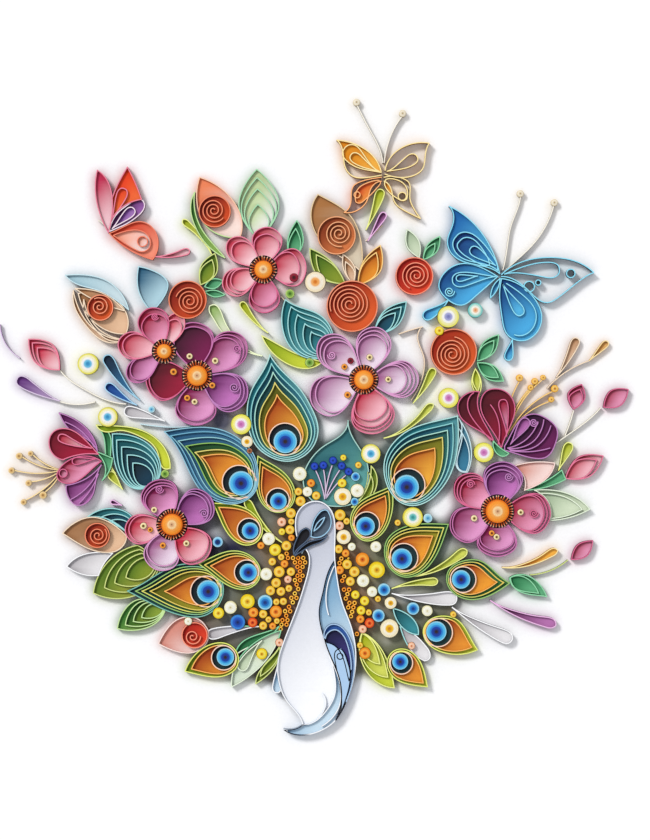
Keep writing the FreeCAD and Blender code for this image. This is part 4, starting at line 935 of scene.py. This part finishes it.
def reach_share(eye, outline, place):
    """How far out a grid point lies from the eye towards the outline, 1 on the outline itself."""
    dx = place[0] - eye[0]
    dy = place[1] - eye[1]
    best = 0.0
    for first, second in zip(outline, outline[1:] + outline[:1]):
        ex = second[0] - first[0]
        ey = second[1] - first[1]
        fx = first[0] - eye[0]
        fy = first[1] - eye[1]
        cross = dx * ey - dy * ex
        if abs(cross) < TINY:
            continue
        along = (fx * ey - fy * ex) / cross
        beside = (fx * dy - fy * dx) / cross
        if along > 0 and -BESIDE_SLACK <= beside <= 1 + BESIDE_SLACK:
            best = max(best, 1 / along)
    return best


def feather_piece(node):
    """A tail feather: nested drops from teal through olive to amber round a dark crescent."""
    eye, radius, nests, outline, bands = FEATHERS[node]
    levels = (1.0,) + nests

    def band_at(share):
        nearest = min(range(len(levels)), key=lambda index: abs(levels[index] - share))
        return bands[min(nearest, len(bands) - 1)] if nearest < len(levels) - 1 else bands[-1]

    lean = CRESCENT_LEAN * radius / math.dist(eye, outline[0])
    heart = mixed(eye, outline[0], lean)

    def in_crescent(place, slack):
        return math.dist(grid_of(place), heart) < radius * CRESCENT_SIZE + slack

    def colour_cell(region, home):
        if all(in_crescent(place, CRESCENT_SLACK) for place in region.outer):
            return gradient(CRESCENT[:2])
        share = max(reach_share(eye, outline, grid_of(place)) for place in region.outer)
        return gradient(band_at(share)[:2])

    def colour_rim(place, home):
        if in_crescent(place, CRESCENT_RIM) and not in_crescent(place, -CRESCENT_RIM):
            return linear(CRESCENT[2])
        share = reach_share(eye, outline, grid_of(place))
        return linear(band_at(share)[2])

    def colour_side(place, home):
        share = reach_share(eye, outline, grid_of(place))
        return tuple(c * SIDE_SHADE for c in linear(band_at(share)[0]))

    return strips_piece(node, colour_cell, colour_rim, colour_side)


def coils_piece(node):
    """A node made only of tight coils."""
    builder = Builder()
    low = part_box(node)[0].z
    for region in regions_of(node)[0]:
        kind = coil_kind(node, grid_of(region.middle))
        dome = HEART_DOME if kind == "heart" else DOME
        rolled(builder, region.middle, region.disc(), low, region.height, kind, dome)
    return builder.piece(f"{node}_rolled", node)


def beads_piece(node):
    """Small ring beads: a short rolled tube with a soft rim painted lighter as lit, and painted shade at
    its foot and in its dark hole.
    """
    builder = Builder()
    # Painted light on each bead: the lip is painted lighter as lit, and the foot and the hole are darkened
    # as painted shade
    hole = linear("3c1c04")
    for region in regions_of(node)[0]:
        warm = random.random()
        body = mixed(linear("f08008"), linear("fcbc1c"), warm)
        lit_lip = mixed(linear("fca030"), linear("fcdc60"), warm)
        tones = (mixed(hole, body, 0.3), body, lit_lip, lit_lip, body, hole, hole)
        start = len(builder.points)
        for (reach, rise), tone in zip(BEAD_PROFILE, tones):
            builder.ring(region.middle, reach * MM, region.height + rise * MM, BEAD_SIDES, tone)
        last = builder.turned(start, len(BEAD_PROFILE), BEAD_SIDES)
        builder.faces.append([last + step for step in range(BEAD_SIDES)])
    return builder.piece(f"{node}_rings", node)


def hair(builder, centre, angle, span, wide, heights, tones):
    """One snipped fringe hair: a thin slip of paper that leans outward."""
    out = Vector((math.cos(angle), math.sin(angle), 0))
    side = Vector((-out.y, out.x, 0))
    base = Vector((centre[0], centre[1], 0))
    start = len(builder.points)
    reaches = (span[0], (span[0] + span[1]) / 2, span[1])
    levels = (heights[0], (heights[0] + heights[1]) / 2 + HAIR_ARCH, heights[1])
    for reach, half, height, tone in zip(reaches, HAIR_HALVES, levels, (tones[0],) + tones):
        for turn in (-1, 1):
            place = base + out * reach + side * (wide * half) * turn
            for depth, shade in ((0.0, 1.0), (HAIR_DEEP, FOOT_SHADE)):
                builder.points.append((place.x, place.y, height - depth))
                builder.tints.append(tuple(c * shade for c in tone))
    for row in (0, 4):
        a = start + row
        b = start + row + 4
        builder.faces.append((a, a + 2, b + 2, b))
        builder.faces.append((a + 1, b + 1, b + 3, a + 3))
        builder.faces.append((a, b, b + 1, a + 1))
        builder.faces.append((a + 2, a + 3, b + 3, b + 2))
    end = start + 8
    builder.faces.append((end, end + 2, end + 3, end + 1))


def fringe_piece():
    """Snipped fringe round each flower centre: pale tips in front of dark ones."""
    builder = Builder()
    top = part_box("flower_fringes")[1].z
    for region in regions_of("flower_centres")[0]:
        radius = region.disc()
        inner = radius + HAIR_GAP
        for spacing, spread, reaches, wide, drops, colours, power, foot in (DARK_HAIRS, PALE_HAIRS):
            count = round(2 * math.pi * radius / (spacing * MM))
            for number in range(count):
                angle = 2 * math.pi * (number + random.uniform(-spread, spread)) / count
                tip = mixed(linear(colours[0]), linear(colours[1]), random.random() ** power)
                outer = inner + random.uniform(*reaches) * MM
                hair(builder, region.middle, angle, (inner, outer), wide * MM,
                     (top - drops[0] * MM, top - drops[1] * MM), (linear(foot) if foot else tip, tip))
    return builder.piece("flower_fringe_hairs", "flower_fringes")


def build_motifs():
    """Every motif of the picture, each by its own kind of piece."""
    made = []
    for node in frame["nodes"]:
        if node in FEATHERS:
            made.append(feather_piece(node))
        elif node in COIL_ROWS:
            made.append(coils_piece(node))
        elif node.startswith("ring_beads"):
            made.append(beads_piece(node))
        elif node in ZONES:
            made.append(motif_piece(node))
        elif node not in ("backing_card", "flower_fringes"):
            raise KeyError(node)
    made.append(fringe_piece())
    return made


def softened(field, reach):
    """The field spread along both axes."""
    for axis in (0, 1):
        for _ in range(2):
            total = numpy.zeros_like(field)
            for shift in range(-reach, reach + 1):
                total += numpy.roll(field, shift, axis=axis)
            field = total / (2 * reach + 1)
    return field


def paper_above(motifs, wide, long):
    """Where coloured paper lies above the cells of the card's mesh, and its colour there."""
    cover = numpy.zeros((long, wide))
    colour = numpy.zeros((long, wide, 3))
    for piece in motifs:
        mesh = piece.data
        tints = mesh.color_attributes["Tint"].data
        for polygon in mesh.polygons:
            if polygon.normal.z < FACING_UP:
                continue
            spots = [mesh.vertices[index].co for index in polygon.vertices]
            shade = tints[polygon.vertices[0]].color
            for number in range(max(1, int(polygon.area / (CARD_CELL * CARD_CELL) * SAMPLES))):
                if number == 0:
                    place = sum(spots, Vector()) / len(spots)
                else:
                    a = random.random()
                    b = random.random()
                    if a + b > 1:
                        a = 1 - a
                        b = 1 - b
                    place = spots[0] + (spots[1] - spots[0]) * a + (spots[2] - spots[0]) * b
                column = int((place.x - card_low.x) / CARD_CELL)
                row = int((place.y - card_low.y) / CARD_CELL)
                if 0 <= row < long and 0 <= column < wide:
                    cover[row, column] = 1.0
                    colour[row, column] = shade[0], shade[1], shade[2]
    return cover, colour


def gap_shade(here):
    """The painted shade colour of a deep gap in the fan, blended from the places named for it."""
    total = 0.0
    deep = (0.0, 0.0, 0.0)
    for x, y, text in GAP_SHADES:
        weight = 1 / (math.dist((x, y), here) ** 3 + GAP_EVEN)
        total += weight
        deep = tuple(d + weight * c for d, c in zip(deep, linear(text)))
    return tuple(d / total for d in deep)


def card_tint(here, reflected_hue, near, around):
    """Colour of the card at a grid point: white, with painted reflection of the paper round it and painted
    shade in its gaps.
    """
    # Painted reflection: the card takes on the colour of the paper close by
    tint = mixed(PAPER_WHITE, reflected_hue, min(MOST_REFLECT, near * REFLECT_GAIN))
    fan = FAN_REACH - math.hypot((here[0] - FAN[0]) / FAN[2], (here[1] - FAN[1]) / FAN[3])
    # Painted shade in the deep gaps of the fan, where much paper lies round the card
    dark = clamped((around - GAP_START) / GAP_SPAN) * clamped(FAN_EDGE * fan)
    if dark > 0:
        tint = mixed(tint, gap_shade(here), dark * GAP_DEPTH)
    # Painted shade spots in the dark gaps elsewhere
    for x, y, reach, text in SHADE_SPOTS:
        fade = SPOT_GAIN * (1 - math.dist((x, y), here) / reach)
        if fade > 0:
            tint = mixed(tint, linear(text), min(fade, SPOT_DEPTH))
    return tint


def card_piece(motifs):
    """The white card, with the colours of nearby paper painted softly on it as reflection, and painted
    shade in the gaps.
    """
    wide = math.ceil((card_high.x - card_low.x) / CARD_CELL) + 1
    long = math.ceil((card_high.y - card_low.y) / CARD_CELL) + 1
    cover, colour = paper_above(motifs, wide, long)
    # Paper close by sets the painted reflection; paper over a wider reach sets the painted shade in the
    # fan's gaps
    near = softened(cover, NEAR_REACH)
    around = softened(cover, FAR_REACH)
    reflected_hue = softened(colour, NEAR_REACH) / numpy.maximum(near, LEAST_COVER)[:, :, None]
    points = []
    tints = []
    faces = []
    for row in range(long):
        for column in range(wide):
            x = min(card_low.x + column * CARD_CELL, card_high.x)
            y = min(card_low.y + row * CARD_CELL, card_high.y)
            points.append((x, y, CARD_TOP))
            tints.append(card_tint(grid_of((x, y)), tuple(reflected_hue[row, column]),
                                   float(near[row, column]), float(around[row, column])))
    for row in range(long - 1):
        for column in range(wide - 1):
            corner = row * wide + column
            faces.append((corner, corner + 1, corner + wide + 1, corner + wide))
    ring = list(range(wide))
    ring += [row * wide + wide - 1 for row in range(1, long)]
    ring += [(long - 1) * wide + column for column in range(wide - 2, -1, -1)]
    ring += [row * wide for row in range(long - 2, 0, -1)]
    first = len(points)
    for corner in ring:
        points.append((points[corner][0], points[corner][1], card_low.z))
        tints.append(PAPER_WHITE)
    for step in range(len(ring)):
        after = (step + 1) % len(ring)
        faces.append((ring[step], first + step, first + after, ring[after]))
    faces.append([first + step for step in reversed(range(len(ring)))])
    make_piece("backing_sheet", slot_of("backing_card"), points, faces, tints, ("backing_card",), False)


card_piece(build_motifs())

# Plain pale floor under the card
FLOOR_SIZE = 6
FLOOR_DROP = 0.4 * MM
bpy.ops.mesh.primitive_plane_add(size=FLOOR_SIZE, location=(0, 0, -FLOOR_DROP))
floor = bpy.context.object
floor.name = "pale_floor"
floor_look = bpy.data.materials.new("floor_look")
floor_look.use_nodes = True
floor_inputs = floor_look.node_tree.nodes["Principled BSDF"].inputs
floor_inputs["Base Color"].default_value = (0.86, 0.86, 0.87, 1)
floor_inputs["Roughness"].default_value = 0.9
floor.data.materials.append(floor_look)

# Soft studio light from the upper left, and an even white surround
world = bpy.context.scene.world or bpy.data.worlds.new("World")
bpy.context.scene.world = world
world.use_nodes = True
surround = world.node_tree.nodes["Background"].inputs
surround["Color"].default_value = (0.97, 0.98, 1.0, 1)
surround["Strength"].default_value = 0.66
key = bpy.data.lights.new("key_light", "SUN")
key.energy = 2.0
key.angle = math.radians(14)
key.color = (1.0, 0.985, 0.96)
key_lamp = bpy.data.objects.new("key_light", key)
bpy.context.collection.objects.link(key_lamp)
KEY_DIRECTION = Vector((0.62, -0.62, -0.85))
key_lamp.rotation_euler = KEY_DIRECTION.to_track_quat("-Z", "Y").to_euler()

# Camera straight above, with a long lens that frames the drawing's grid
AWAY = 1.2
SENSOR = 24
lens = bpy.data.cameras.new("camera")
lens.sensor_fit = "VERTICAL"
lens.sensor_height = SENSOR
lens.lens = SENSOR * (AWAY - CARD_TOP) / (GRID_LONG * STEP)
lens.clip_end = 10
camera = bpy.data.objects.new("camera", lens)
bpy.context.collection.objects.link(camera)
camera.location = (0, 0, AWAY)
bpy.context.scene.camera = camera
bpy.context.scene.view_settings.view_transform = "Standard"
